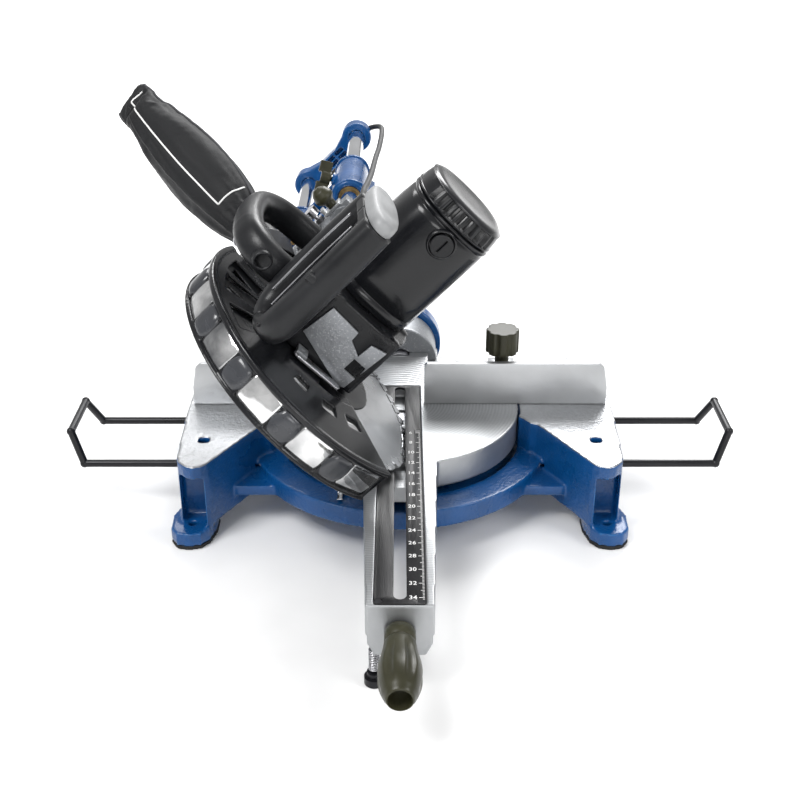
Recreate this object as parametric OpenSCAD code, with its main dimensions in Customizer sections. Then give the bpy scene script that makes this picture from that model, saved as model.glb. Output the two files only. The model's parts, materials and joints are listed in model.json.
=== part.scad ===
/* [Table and base] */
// Height of the table above the bench
table_h = 90; // [88:1:96]
// Radius of the turntable
disc_r = 126.5; // [124:0.5:127]
// Outer radius of the mitre ring on the base
ring_r = 159; // [157:1:162]
// Height of the mitre ring's top above the bench
ring_top = 54; // [53:0.5:55]
// Half distance between the bolt holes, left to right
foot_x = 210; // [206:1:212]
// Half distance between the bolt holes, front to back
foot_y = 122; // [119:1:124]
// Diameter of the bolt holes in the feet
foot_hole_d = 9; // [7:0.5:10]

/* [Fence] */
// Height of the fence above the table
fence_h = 48; // [40:1:52]
// Half width of the two fences together
fence_x = 217; // [212:1:220]

/* [Blade] */
// Diameter of the saw blade
blade_d = 254; // [250:1:255]
// Width of cut of the blade
blade_kerf = 2.8; // [2:0.2:3]
// Diameter of the arbor
arbor_d = 30; // [25:1:30]

/* [Head] */
// Tilt of the head in the drawn position
tilt = 45; // [0:1:45]
// Distance of the arbor in front of the fence
arbor_front = 80; // [78:1:82]
// Height of the arbor above the table, measured in the blade's plane
arbor_h = 116; // [115:1:118]
// Radius of the motor housing
motor_r = 46; // [44:0.5:46]

/* [Rails] */
// Diameter of the slide rails
rail_d = 20.5; // [20:0.1:20.5]
// Distance between the slide rails
rail_gap = 92; // [90:1:92]
// Distance from the rail plane to the tilt axis
rail_h = 160; // [158:1:162]

/* [Lead] */
// Diameter of the mains lead
lead_d = 7; // [6:0.5:7]

/* [Hidden] */
$fn = 64;

blade_r = blade_d / 2;
arbor_y = -arbor_front;
motor_y = -55;
motor_z = 128;
rail_r = rail_d / 2;
rail_left = -14;
rail_right = rail_left + rail_gap;
rail_mid = (rail_left + rail_right) / 2;
pivot_y = 86;
pivot_z = rail_h;
bracket_y = 440;
guard_r = 146;
guard_low = -37.5;
guard_high = 115;
fit = 0.05;
bar_z = 48;
gap = 0.3;

// Stations along the arbor: the blade's middle plane is 0
case_x0 = 16;
case_x1 = 85;
motor_x1 = 200;
motor_x2 = 222;

// The lead's gland leaves the motor to the rear, at this angle from upright
gland_a = 70;
gland_r = 62;

// The head's own frame: X along the arbor, Y to the rear, Z up in the blade's plane
module head() translate([0, 0, table_h]) rotate([0, -tilt, 0]) children();

// Extrude an outline of (y, z) points along +X
module along_x(x0, x1) translate([x0, 0, 0]) rotate([90, 0, 90]) linear_extrude(x1 - x0) children();

// Extrude an outline of (x, z) points along +Y
module along_y(y0, y1) translate([0, y1, 0]) rotate([90, 0, 0]) linear_extrude(y1 - y0) children();

module up(z0, z1) translate([0, 0, z0]) linear_extrude(z1 - z0) children();

module rod_x(x0, x1, y, z, r) translate([x0, y, z]) rotate([0, 90, 0]) cylinder(h = x1 - x0, r = r);

module rod_y(y0, y1, x, z, r) translate([x, y0, z]) rotate([-90, 0, 0]) cylinder(h = y1 - y0, r = r);

module block(x0, x1, y0, y1, z0, z1) translate([x0, y0, z0]) cube([x1 - x0, y1 - y0, z1 - z0]);

// Points of an arc about the arbor, from the front of the blade upwards
function arbor_arc(r, a0, a1, n) = [for (i = [0 : n])
    let (a = a0 + (a1 - a0) * i / n) [arbor_y - r * cos(a), arbor_h + r * sin(a)]];

// A slice of a ring about the arbor, as an outline of (y, z) points
module arbor_sector(r0, r1, a0, a1) polygon(concat(
    arbor_arc(r1, a0, a1, ceil((a1 - a0) / 4)), arbor_arc(r0, a1, a0, ceil((a1 - a0) / 4))));

module arbor_disc(r) translate([arbor_y, arbor_h]) circle(r);

// ---------------------------------------------------------------- base

module wing_outline(s) polygon([
    [s * 60, -20], [s * 128, -30], [s * 136, -42], [s * 143, -46], [s * 152, -60],
    [s * 190, -126], [s * 196, -132], [s * 204, -135], [s * 213, -131], [s * 220, -122],
    [s * 223, -110], [s * 226, -38], [s * 226, 96], [s * 222, 120], [s * 212, 134],
    [s * 204.5, 134], [s * 197, 124], [s * 159, 58], [s * 128, 40], [s * 60, 30]]);

module wing_hollow(s) polygon([
    [s * 136, -26], [s * 146, -36], [s * 158, -58], [s * 186, -102], [s * 218, -100],
    [s * 219, -38], [s * 219, 96], [s * 193.5, 98], [s * 154, 40], [s * 136, 26]]);

module foot_outline(s, t) polygon([
    [s * 187, t * 92], [s * 187, t * 112], [s * 192, t * 132], [s * 200, t * 142],
    [s * 212, t * 145], [s * 224, t * 142], [s * 231, t * 132], [s * 232, t * 108],
    [s * 227, t * 92]]);

module base_casting() color([0.06, 0.27, 0.56]) difference() {
    union() {
        difference() {
            union() {
                for (s = [-1, 1]) up(18, table_h) wing_outline(s);
                up(33, ring_top) intersection() {
                    circle(ring_r);
                    translate([-200, -200]) square([400, 230]);
                }
                up(33, ring_top) circle(148);
                // Low apron between the ring and the feet
                for (s = [-1, 1]) up(33, 44) polygon([[s * 120, -95], [s * 156, -46],
                    [s * 168, -20], [s * 168, -95]]);
            }
            for (s = [-1, 1]) up(10, table_h - 8) wing_hollow(s);
            // Well that the turntable turns in
            up(41, table_h + 1) circle(disc_r + 1.5);
            // Arches in the outer walls, and room under the front corners' gussets
            for (s = [-1, 1]) translate([s * 222, 0, 27]) cube([30, 150, 22], center = true);
            for (s = [-1, 1]) for (t = [-1, 1])
                translate([s * 207, t * 128, 47]) cube([24, 48, 58], center = true);
        }
        for (s = [-1, 1]) for (t = [-1, 1]) up(4, 18.5) foot_outline(s, t);
        // Middle boss that carries the turntable
        up(33, 59) circle(26);
        // Sockets for the extension bars
        for (s = [-1, 1]) for (y = [-54, 40])
            translate([s * 210, y, bar_z]) rotate([0, 90, 0]) cylinder(h = 30, r = 9, center = true);
    }
    for (s = [-1, 1]) for (t = [-1, 1]) translate([s * foot_x, t * foot_y, -1])
        cylinder(h = 30, d = foot_hole_d);
    for (s = [-1, 1]) for (y = [-54, 40]) translate([s * 150, y, bar_z])
        rotate([0, 90, 0]) cylinder(h = 190, r = 4.05, center = true);
    translate([0, 0, 20]) cylinder(h = 50, r = 6.05);
    // Threads for the fence bolts and the bar screws
    for (s = [-1, 1]) for (x = [160, 198]) translate([s * x, 25, 70]) cylinder(h = 30, r = 3);
    for (s = [-1, 1]) translate([s * 212, -54, 30]) cylinder(h = bar_z - 30, r = 3.05);
    // Shallow sockets for hold-down clamps in the wing tops
    for (s = [-1, 1]) translate([s * 200, -78, 72]) cylinder(h = 30, r = 6);
}

module rubber_feet() color([0.06, 0.06, 0.06]) for (s = [-1, 1]) for (t = [-1, 1])
    difference() {
        up(0, 4) foot_outline(s, t);
        translate([s * foot_x, t * foot_y, -1]) cylinder(h = 6, d = foot_hole_d);
    }

module fence_outline(s) polygon(s > 0
    ? [[26, 0.5], [26, fence_h - 3], [29, fence_h], [fence_x - 6, fence_h],
       [fence_x, fence_h - 5], [fence_x + 4, 20], [fence_x + 4, 0.5]]
    : [[-42, 0.5], [-46, 6], [-118, fence_h], [6 - fence_x, fence_h],
       [-fence_x, fence_h - 5], [-fence_x - 4, 20], [-fence_x - 4, 0.5]]);

module fence(s) {
    ribs = s > 0 ? [50, 146, 182, 214] : [-130, -150, -182, -214];
    difference() {
        translate([0, 0, table_h]) union() {
            along_y(0, 6) fence_outline(s);
            // Foot that is bolted to the wing
            block(min(s * 140, s * 220), max(s * 140, s * 220), 6, 40, 0, 9);
            for (x = ribs) along_x(x - 2.5, x + 2.5) polygon([[5.5, 8.9], [5.5, 40],
                [14, 34], [34, 8.9]]);
            // Lower rail of the fence
            block(s > 0 ? 30 : -220, s > 0 ? 220 : -70, 5.9, 14, 1.5, 9);
            if (s > 0) along_x(96, 124) polygon([[5.9, 9], [44, 12], [44, 34], [5.9, 34]]);
        }
        for (x = [160, 198]) translate([s * x, 25, table_h - 1]) cylinder(h = 30, r = 3.3);
        if (s > 0) translate([110, 30, table_h]) cylinder(h = 60, r = 4.05);
    }
}

module fence_left() color([0.80, 0.81, 0.82]) fence(-1);

module fence_right() color([0.80, 0.81, 0.82]) fence(1);

module fence_bolts() color([0.3, 0.3, 0.31]) for (s = [-1, 1]) for (x = [160, 198])
    translate([s * x, 25, 0]) difference() {
        union() {
            translate([0, 0, 74]) cylinder(h = 26, r = 2.95);
            translate([0, 0, table_h + 9]) cylinder(h = 6, r = 5);
        }
        translate([0, 0, table_h + 12]) cylinder(h = 5, r = 2.9, $fn = 6);
    }

module fence_knob() color([0.24, 0.24, 0.17]) translate([110, 30, table_h]) {
    translate([0, 0, 13]) cylinder(h = 23, r = 4);
    translate([0, 0, 34.4]) cylinder(h = 16, r = 7.5);
    difference() {
        translate([0, 0, 49]) cylinder(h = 26, r = 17.7);
        for (i = [0 : 7]) rotate([0, 0, i * 45 + 22]) translate([20.5, 0, 47])
            cylinder(h = 30, r = 4.6);
    }
}

module extension_bar(s) color([0.08, 0.08, 0.08]) {
    bar_r = 4;
    end_z = table_h - 8;
    for (y = [-54, 40]) {
        translate([s * 160, y, bar_z]) rotate([0, s * 90, 0]) cylinder(h = 172, r = bar_r);
        translate([s * 332, y, bar_z]) sphere(bar_r + 0.6);
    }
    for (p = [[-54, -46], [40, 22]]) bar_leg([s * 332, p[0], bar_z], [s * 344, p[1], end_z], bar_r);
    for (y = [-46, 22]) translate([s * 344, y, end_z]) sphere(bar_r + 0.6);
    translate([s * 344, -46, end_z]) rotate([-90, 0, 0]) cylinder(h = 68, r = bar_r);
}

// A round bar between two points
module bar_leg(a, b, r) {
    d = b - a;
    len = norm(d);
    translate(a) rotate([0, acos(d[2] / len), atan2(d[1], d[0])]) cylinder(h = len, r = r);
}

module extension_bar_left() extension_bar(-1);

module extension_bar_right() extension_bar(1);

module bar_screw(s) color([0.3, 0.3, 0.31]) translate([s * 212, -54, 0]) {
    translate([0, 0, 29]) cylinder(h = bar_z - 33.4, r = 3);
    translate([0, 0, 25]) cylinder(h = 5, r = 6);
    translate([-11, -2, 22]) cube([22, 4, 9]);
}

module bar_screw_left() bar_screw(-1);

module bar_screw_right() bar_screw(1);

// ----------------------------------------------------------- turntable

arm_w0 = 37.5;
arm_w1 = 29;
arm_y = -355;
insert_w = 21.5;
trough_z = 76.5;

module slot_outline(w, y0, y1) {
    translate([-w, y0 + w]) square([2 * w, y1 - y0 - 2 * w]);
    for (y = [y0 + w, y1 - w]) translate([0, y]) circle(w);
}

module turntable() color([0.72, 0.73, 0.75]) difference() {
    union() {
        up(59.5, table_h) circle(disc_r);
        // Arm that carries the front of the slot
        up(59.5, table_h) polygon([[-arm_w0, -105], [-arm_w1, arm_y], [arm_w1, arm_y],
            [arm_w0, -105]]);
        up(50, 60) polygon([[-35, -168], [-27.5, arm_y], [27.5, arm_y], [35, -168]]);
        along_y(arm_y, arm_y + 40) polygon([[-27.5, 52], [-27.5, 50], [-22, 38], [22, 38],
            [27.5, 50], [27.5, 52]]);
        // Pedestal for the tilt bearing
        along_y(78, 126) polygon([[-50, 60], [-41, 92], [41, 92], [50, 60]]);
        up(60, 88) polygon([[-44, 100], [-44, 148], [44, 148], [44, 100]]);
        along_x(-36, 32) polygon([[45.5, 88], [45.5, table_h - 0.5], [93, table_h + 12],
            [103.6, table_h + 12], [103.6, 88]]);
    }
    // Seat of the kerf insert
    up(table_h - 3, table_h + 1) polygon([[-22, 44], [-22, arm_y + 2], [22, arm_y + 2], [22, 44]]);
    // Trough below the insert, open downwards in the arm
    up(trough_z, table_h) polygon([[-15, 42], [-15, arm_y + 9], [18, arm_y + 9], [18, 42]]);
    up(37, trough_z + 1) polygon([[-15, -150], [-15, arm_y + 9], [18, arm_y + 9], [18, -150]]);
    // Hollow underside
    up(50, table_h - 9) difference() {
        circle(disc_r - 7);
        translate([-50, 72]) square([100, 60]);
        translate([-24, -130]) square([51, 214]);
    }
    up(50, trough_z - 8) difference() {
        translate([-15, -118]) square([33, 180]);
        circle(20);
    }
    for (s = [-1, 1]) up(49, table_h - 9) polygon([[s * 25, -130], [s * 32, -130],
        [s * 23.5, arm_y + 40], [s * 20, arm_y + 40]]);
    translate([0, 0, 55]) cylinder(h = 27, r = 6.05);
    translate([0, 0, trough_z - 7]) cylinder(h = 20, r = 11);
    // Pocket for the tilt shaft's head, and cradle of the bevel housing
    rod_y(96, 160, 0, table_h, 15.5);
    rod_y(109.7, 160, 0, table_h, 27.2);
    rod_y(arm_y - 2, arm_y + 10, 0, 64, 5.05);
    translate([-22, -343, 30]) cylinder(h = 58, r = 3.05);
    for (p = insert_points) translate([p[0], p[1], 70]) cylinder(h = 30, r = 1.9);
}

insert_points = [[-18, -348], [18, -348], [-18.4, -60], [18.4, -60]];

module pivot_bolt() color([0.5, 0.5, 0.52]) {
    translate([0, 0, 26]) cylinder(h = 45, r = 6);
    translate([0, 0, trough_z - 6.7]) cylinder(h = 5, r = 9.5, $fn = 6);
    translate([0, 0, 25]) cylinder(h = 7.8, r = 10, $fn = 6);
}

module kerf_insert() color([0.07, 0.07, 0.07]) difference() {
    up(table_h - 2.8, table_h) translate([-insert_w, arm_y + 2.5]) square([2 * insert_w, 396]);
    up(table_h - 5, table_h + 1) slot_outline(5.5, arm_y + 9, 40);
    for (p = insert_points) translate([p[0], p[1], 80]) cylinder(h = 20, r = 2.2);
    for (p = insert_points) translate([p[0], p[1], table_h - 1.6]) cylinder(h = 4, r = 3.6);
}

module insert_screws() color([0.12, 0.12, 0.12]) for (p = insert_points)
    translate([p[0], p[1], 0]) difference() {
        union() {
            translate([0, 0, 76]) cylinder(h = 13, r = 1.85);
            translate([0, 0, table_h - 1.6]) cylinder(h = 1.4, r = 3.3);
        }
        translate([0, 0, table_h - 1]) cube([4, 0.8, 1.4], center = true);
        translate([0, 0, table_h - 1]) cube([0.8, 4, 1.4], center = true);
    }

module mitre_pointer() color([0.85, 0.86, 0.87]) difference() {
    union() {
        translate([-60, -126, 57.9]) cube([32, 14, 1.6]);
        translate([-62, -140, 56.4]) cube([5, 16, 1.2]);
        translate([-62, -126, 56.4]) cube([5, 14, 3.1]);
        translate([-45, -118, 55]) cylinder(h = 3, r = 4.5);
    }
    translate([-45, -118, 54]) cylinder(h = 2.4, r = 2.1, $fn = 6);
}

// Profile of the olive grip, as (radius, distance from its end)
function grip_r(t) = 12.5 + 6.3 * sin(180 * pow(t, 0.62)) * (0.55 + 0.45 * sin(180 * t))
    + 1.5 * t;

module mitre_lock_handle() color([0.24, 0.24, 0.17]) translate([0, arm_y - 2.2, 64])
    rotate([90, 0, 0]) difference() {
        rotate_extrude() polygon(concat([[0, 0], [13, 0], [13, 12]],
            [for (i = [0 : 14]) [grip_r(1 - i / 14) - 0.6, 14 + 69 * i / 14]], [[0, 83]]));
        translate([0, 0, 62]) cylinder(h = 30, r = 9.5);
        translate([0, 0, -1]) cylinder(h = 31, r = 5);
    }

module mitre_lock_rod() color([0.6, 0.6, 0.62]) rod_y(arm_y - 32, arm_y + 8.5, 0, 64, 5);

module support_foot() color([0.1, 0.1, 0.1]) translate([-22, -343, 0]) {
    cylinder(h = 7, r = 9);
    translate([0, 0, 6]) cylinder(h = 6, r = 6.5);
    translate([0, 0, 11]) cylinder(h = 59, r = 3);
}

module bevel_housing() color([0.42, 0.43, 0.45]) difference() {
    union() {
        intersection() {
            rod_y(104, 150, 0, table_h, 42);
            block(-60, 60, 90, 151, table_h + 2.3, 200);
        }
        rod_y(110, 150, 0, table_h, 27);
    }
    rod_y(90, 151, 0, table_h, 12.05);
    rod_y(90, 109, 0, table_h, 15.8);
}

module bevel_shaft() color([0.6, 0.6, 0.62]) {
    rod_y(99, 196, 0, table_h, 12);
    rod_y(97, 108.5, 0, table_h, 15);
}

module bevel_lock_lever() color([0.24, 0.24, 0.17]) translate([0, 0, table_h]) {
    rod_y(196.4, 211, 0, 0, 15);
    rotate([0, 80, 0]) {
        rod_x(12, 48, 204, 0, 5.5);
        translate([48, 204, 0]) sphere(8);
    }
}

// ----------------------------------------------------------- tilting arm

module bevel_arm() color([0.06, 0.27, 0.56]) head() difference() {
    union() {
        rod_y(152, 176, 0, 0, 48);
        along_y(154, 192) polygon([[-47, 8], [-30, 126], [-22, 138], [84, 138], [92, 126],
            [60, 60], [47, 6]]);
        along_y(188, 286) polygon([[-26, 132], [-10, 126], [74, 126], [90, 132], [84, 150],
            [-20, 150]]);
        block(rail_left, rail_right, 192, 288, rail_h - 14, rail_h + 8);
        for (x = [rail_left, rail_right]) rod_y(190, 293, x, rail_h, 19.5);
        // Boss of the rail lock screw
        translate([rail_right, 240, rail_h]) rotate([0, -30, 0]) cylinder(h = 24, r = 7);
    }
    // Window between the rails, and lightening pockets
    block(rail_left + 27, rail_right - 27, 204, 280, 100, 200);
    along_y(176.5, 200) polygon([[-30, 50], [-22, 118], [68, 118], [42, 50]]);
    for (x = [rail_left, rail_right]) {
        rod_y(150, 300, x, rail_h, 11.2);
        rod_y(189, 210, x, rail_h, 13);
        rod_y(273, 294, x, rail_h, 13);
    }
    rod_y(150, 210, 0, 0, 12.05);
    translate([rail_right, 240, rail_h]) rotate([0, -30, 0]) cylinder(h = 30, r = 3.05);
}

module rail_bushings() color([0.62, 0.5, 0.3]) head()
    for (x = [rail_left, rail_right]) for (y = [190, 273]) difference() {
        rod_y(y, y + 20, x, rail_h, 12.95);
        rod_y(y - 1, y + 21, x, rail_h, rail_r + fit);
    }

module rail_lock_knob() color([0.24, 0.24, 0.17]) head()
    translate([rail_right, 240, rail_h]) rotate([0, -30, 0]) {
        translate([0, 0, rail_r + 0.4]) cylinder(h = 20, r = 3);
        translate([0, 0, 25]) cylinder(h = 12, r = 8);
        for (a = [0, 180]) rotate([0, 0, a + 25]) translate([6, -3.5, 26]) cube([13, 7, 15]);
    }

// ------------------------------------------------------------- slide

module slide_rails() color([0.8, 0.81, 0.83]) head() for (x = [rail_left, rail_right])
    difference() {
        rod_y(102, bracket_y + 16, x, rail_h, rail_r);
        rod_y(101, bracket_y + 17, x, rail_h, rail_r - 2);
    }

module bracket_outline(w, r) {
    for (x = [rail_left, rail_right]) translate([x, rail_h]) circle(r);
    polygon([[rail_left, rail_h - w], [rail_left, rail_h + w], [rail_left + 8, rail_h + w],
        [rail_mid - 12, rail_h + 8.5], [rail_mid + 12, rail_h + 8.5], [rail_right - 8, rail_h + w],
        [rail_right, rail_h + w], [rail_right, rail_h - w], [rail_right - 8, rail_h - w],
        [rail_mid + 12, rail_h - 8.5], [rail_mid - 12, rail_h - 8.5], [rail_left + 8, rail_h - w]]);
}

module rear_bracket() color([0.06, 0.27, 0.56]) head() difference() {
    union() {
        along_y(bracket_y, bracket_y + 20) bracket_outline(16, 19.5);
        // Hooks that the wound lead hangs on
        winding_frame_flat() for (x = [-4, 38]) {
            block(x - 4, x + 4, -40, -11, -10.4, -7.3);
            block(x - 4, x + 4, -17, -11, -8, 5);
        }
    }
    for (x = [rail_left, rail_right]) rod_y(bracket_y - 1, bracket_y + 16, x, rail_h, rail_r + 0.02);
    // Pockets of the ribbed web
    for (i = [0 : 2]) for (s = [-1, 1])
        translate([rail_mid + (i - 1) * 16 - 6.5, bracket_y - 1, rail_h + (s > 0 ? 0.8 : -6)])
            cube([13, 8, 5.2]);
}

module carriage() color([0.5, 0.51, 0.53]) head() difference() {
    union() {
        block(-32, 96, 107, 125, 142, 178);
        for (x = [rail_left, rail_right]) rod_y(104, 125, x, rail_h, 18);
        // Ears on both sides of the head's hub
        for (x = [4, 57]) along_x(x, x + 13) polygon([[108, 142], [108, 178], [pivot_y, 176],
            [pivot_y - 13, 169], [pivot_y - 16, 160], [pivot_y - 13, 151], [pivot_y, 144]]);
    }
    for (x = [rail_left, rail_right]) rod_y(102, 140, x, rail_h, rail_r + 0.02);
    rod_x(-10, 100, pivot_y, pivot_z, 8);
    translate([56, 114, 140]) cylinder(h = 40, r = 3.05);
    translate([rail_right, 116, 172]) cylinder(h = 20, r = 3.05);
}

module chop_pin() color([0.6, 0.6, 0.62]) head() difference() {
    union() {
        rod_x(3, 71, pivot_y, pivot_z, 7.95);
        rod_x(0, 3, pivot_y, pivot_z, 11);
        rod_x(70.5, 75, pivot_y, pivot_z, 11);
    }
    rod_x(-5, 2, pivot_y, pivot_z, 3);
}

module depth_stop_screw() color([0.7, 0.7, 0.72]) head() translate([56, 114, 0]) {
    translate([0, 0, 150]) cylinder(h = 40, r = 3);
    translate([0, 0, 178.4]) cylinder(h = 5, r = 6.2, $fn = 6);
    translate([0, 0, 188]) cylinder(h = 9, r = 8);
}

module depth_stop_plate() color([0.72, 0.73, 0.74]) head() difference() {
    union() {
        up(178.4, 181.4) polygon([[rail_right - 8, 108], [rail_right + 9, 108],
            [rail_right + 9, 124], [rail_right - 8, 124], [64.5, 121], [64.5, 110]]);
        block(64.5, 68, 110, 121, 178.4, 187.4);
    }
    translate([rail_right, 116, 176]) cylinder(h = 8, r = 3.05);
}

module stop_clamp_knob() color([0.24, 0.24, 0.17]) head() translate([rail_right, 116, 0]) {
    translate([0, 0, 173]) cylinder(h = 12, r = 3);
    translate([0, 0, 181.8]) cylinder(h = 6, r = 6);
    translate([0, 0, 187.5]) rotate_extrude() polygon([[0, 0], [6, 0], [11, 5], [11.5, 9],
        [9, 16], [4, 20], [0, 20]]);
}

// Torsion spring on the chop pin, inside the hub
module return_spring() color([0.3, 0.3, 0.31]) head() for (i = [0 : 3])
    translate([24 + i * 4.6, pivot_y, pivot_z]) rotate([0, 90, 0])
        rotate_extrude() translate([11.4, 0]) circle(1.5);

// --------------------------------------------------------------- head

module case_outline() {
    arbor_disc(40);
    translate([motor_y, motor_z]) circle(motor_r);
    polygon([[-118, 96], [-119.6, 110], [-119.6, 166.5], [-150, 188], [-150, 193],
        [-127.4, 195], [-128, 178], [30, 178], [34, 150], [-10, 90], [-60, 78], [-100, 82]]);
}

module gear_case() color([0.07, 0.07, 0.075]) head() difference() {
    union() {
        along_x(case_x0, case_x1) case_outline();
        // Arm back to the chop pin
        along_x(20, 56.6) polygon([[-20, 178], [pivot_y, 178], [pivot_y, 142], [30, 112],
            [-20, 90]]);
        rod_x(17.4, 56.6, pivot_y, pivot_z, 18);
        // Nose that carries the guard
        rod_x(10.4, case_x0 + 1, arbor_y, arbor_h, 25.95);
    }
    // Gear chamber and bearing seats
    rod_x(34, 62, arbor_y, arbor_h, 33);
    rod_x(34, 80, motor_y, motor_z, 20);
    rod_x(22, 84, arbor_y, arbor_h, 16);
    rod_x(9, 40, arbor_y, arbor_h, 13);
    rod_x(75, 90, motor_y, motor_z, 36);
    rod_x(26, 40, motor_y, motor_z, 10.5);
    rod_x(17, 57, pivot_y, pivot_z, 8);
    rod_x(22, 42, pivot_y, pivot_z, 13.4);
    // Screw holes for the carry handle
    for (y = [-117, 14]) translate([65, y, 160]) cylinder(h = 30, r = 2.5);
}

module upper_guard() color([0.06, 0.06, 0.065]) head() {
    r = 137;
    a0 = 52;
    a1 = 188;
    difference() {
        union() {
            along_x(-19, 10) arbor_sector(r - 2.5, r, a0, a1);
            along_x(-19, -17) arbor_sector(70, r - 1, a0, a1);
            along_x(8, 10) union() {
                arbor_sector(40, r - 1, a0, a1);
                arbor_disc(60);
            }
            // Feet against the gear case
            rod_x(9.5, case_x0, 6.6, 166, 7);
            rod_x(9.5, case_x0, -13, 122, 7);
        }
        rod_x(0, 20, arbor_y, arbor_h, 26.3);
        // Openings in the right face
        along_x(5, 12) for (a = [74.5, 96.5]) polygon(concat(arbor_arc(124, a - 8, a + 8, 3),
            arbor_arc(92, a + 2, a - 2, 1)));
        // Mouth of the dust port
        along_x(-16, 7) arbor_sector(120, r + 5, 133.3, 154.7);
    }
}

module lower_guard() color([0.08, 0.08, 0.085]) head() {
    difference() {
        union() {
            along_x(-23.5, 14.5) arbor_sector(guard_r - 3, guard_r, guard_low, guard_high);
            along_x(-23.5, -21) arbor_sector(104, guard_r, guard_low + 1, guard_high);
            along_x(12, 14.5) union() {
                arbor_sector(62, guard_r, guard_low, guard_high);
                arbor_disc(36);
                arbor_sector(30, 64, 5, 60);
            }
        }
        rod_x(5, 20, arbor_y, arbor_h, 26);
        // Windows in the rim
        for (i = [0 : 5]) along_x(-20, 9) arbor_sector(guard_r - 8, guard_r + 4,
            window_a(i) - 7.5, window_a(i) + 7.5);
        // Slots in the right face
        for (a = [-26, -6, 16]) along_x(10, 16) arbor_sector(82, 98, a - 5, a + 5);
        for (a = [58, 82, 100]) along_x(10, 16) arbor_sector(84, 130, a - 7, a + 7);
    }
}

function window_a(i) = -28 + i * 25;

module guard_windows() color([0.8, 0.83, 0.86, 0.6]) head() for (i = [0 : 5])
    along_x(-19.9, 8.9) arbor_sector(guard_r - 2.7, guard_r - 0.3, window_a(i) - 7.4,
        window_a(i) + 7.4);

module motor_housing() color([0.07, 0.07, 0.075]) head() difference() {
    union() {
        rod_x(case_x1 + gap, motor_x1, motor_y, motor_z, motor_r);
        // Gland for the lead
        translate([118, motor_y, motor_z]) rotate([-gland_a, 0, 0]) cylinder(h = gland_r, r = 7.5);
        for (y = [-1, 1]) translate([182, motor_y, motor_z]) rotate([90 * y, 0, 0])
            cylinder(h = 49, r = 14);
    }
    rod_x(case_x1 - 1, motor_x1 + 1, motor_y, motor_z, motor_r - 3);
    translate([118, motor_y, motor_z]) rotate([-gland_a, 0, 0])
        cylinder(h = gland_r + 1, r = lead_d / 2 + 0.1);
    for (y = [-1, 1]) translate([182, motor_y, motor_z]) rotate([90 * y, 0, 0])
        cylinder(h = 50, r = 8);
}

module motor_end_cap() color([0.06, 0.06, 0.065]) head() difference() {
    union() {
        rod_x(motor_x1 + 0.2, motor_x1 + 12, motor_y, motor_z, motor_r - 1);
        translate([motor_x1 + 12, motor_y, motor_z]) rotate([0, 90, 0])
            cylinder(h = motor_x2 - motor_x1 - 12, r1 = motor_r - 1, r2 = motor_r - 8);
    }
    rod_x(motor_x1, motor_x1 + 9, motor_y, motor_z, motor_r - 4);
    rod_x(motor_x1 + 8, motor_x1 + 16.2, motor_y, motor_z, 14);
    // Cooling slots
    for (i = [0 : 9]) for (a = [0, 180]) translate([motor_x1 + 2, motor_y, motor_z])
        rotate([i * 12 - 54 + a, 0, 0]) translate([0, -50, -2]) cube([17, 16, 4]);
}

module brush_caps() color([0.05, 0.05, 0.05]) head() for (y = [-1, 1])
    translate([182, motor_y, motor_z]) rotate([90 * y, 0, 0]) difference() {
        union() {
            translate([0, 0, 43]) cylinder(h = 7, r = 7.95);
            translate([0, 0, 49.1]) cylinder(h = 3, r = 11);
        }
        translate([0, 0, 51]) cube([14, 2, 4], center = true);
    }

module carbon_brushes() color([0.2, 0.2, 0.2]) head() for (y = [-1, 1])
    translate([182, motor_y, motor_z]) rotate([90 * y, 0, 0])
        translate([-5, -3, 15.4]) cube([10, 6, 27.4]);

module stator() color([0.45, 0.45, 0.47]) head() difference() {
    rod_x(100, 150, motor_y, motor_z, motor_r - 3);
    rod_x(99, 151, motor_y, motor_z, 26.5);
}

module ring_x(x0, x1, y, z, ro, ri) difference() {
    rod_x(x0, x1, y, z, ro);
    rod_x(x0 - 1, x1 + 1, y, z, ri);
}

module ball_bearings() color([0.65, 0.65, 0.67]) head() {
    ring_x(24, 33, arbor_y, arbor_h, 15.95, 7.55);
    ring_x(70, 79, arbor_y, arbor_h, 15.95, 7.55);
    ring_x(27, 34, motor_y, motor_z, 10.45, 5.05);
    ring_x(209.2, 216.2, motor_y, motor_z, 13.95, 5.05);
}

module armature() color([0.55, 0.4, 0.25]) head() {
    rod_x(26.5, 215.8, motor_y, motor_z, 5);
    rod_x(102, 148, motor_y, motor_z, 26);
    rod_x(172, 192, motor_y, motor_z, 15);
    rod_x(86, 96, motor_y, motor_z, 33);
    // Pinion
    rod_x(44, 60, motor_y, motor_z, 6.6);
}

module spindle() color([0.6, 0.6, 0.62]) head() {
    rod_x(16, 82, arbor_y, arbor_h, 7.5);
    rod_x(7.1, 20, arbor_y, arbor_h, 12);
    rod_x(-0.9, 8, arbor_y, arbor_h, 8);
    // Driven gear
    rod_x(46, 58, arbor_y, arbor_h, 20.6);
}

module blade() color([0.78, 0.79, 0.8]) head() difference() {
    union() {
        rod_x(-0.9, 0.9, arbor_y, arbor_h, blade_r - 5);
        for (i = [0 : 47]) along_x(-blade_kerf / 2, blade_kerf / 2)
            polygon([for (p = [[blade_r - 8, 0], [blade_r - 2, 0.3], [blade_r, 1.8],
                [blade_r - 0.7, 4.6], [blade_r - 8, 5.6]])
                [arbor_y - p[0] * cos(i * 7.5 + p[1]), arbor_h + p[0] * sin(i * 7.5 + p[1])]]);
    }
    rod_x(-3, 3, arbor_y, arbor_h, arbor_d / 2);
    for (i = [0 : 3]) along_x(-3, 3) arbor_sector(108, 140, i * 90 + 40, i * 90 + 41.2);
}

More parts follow.
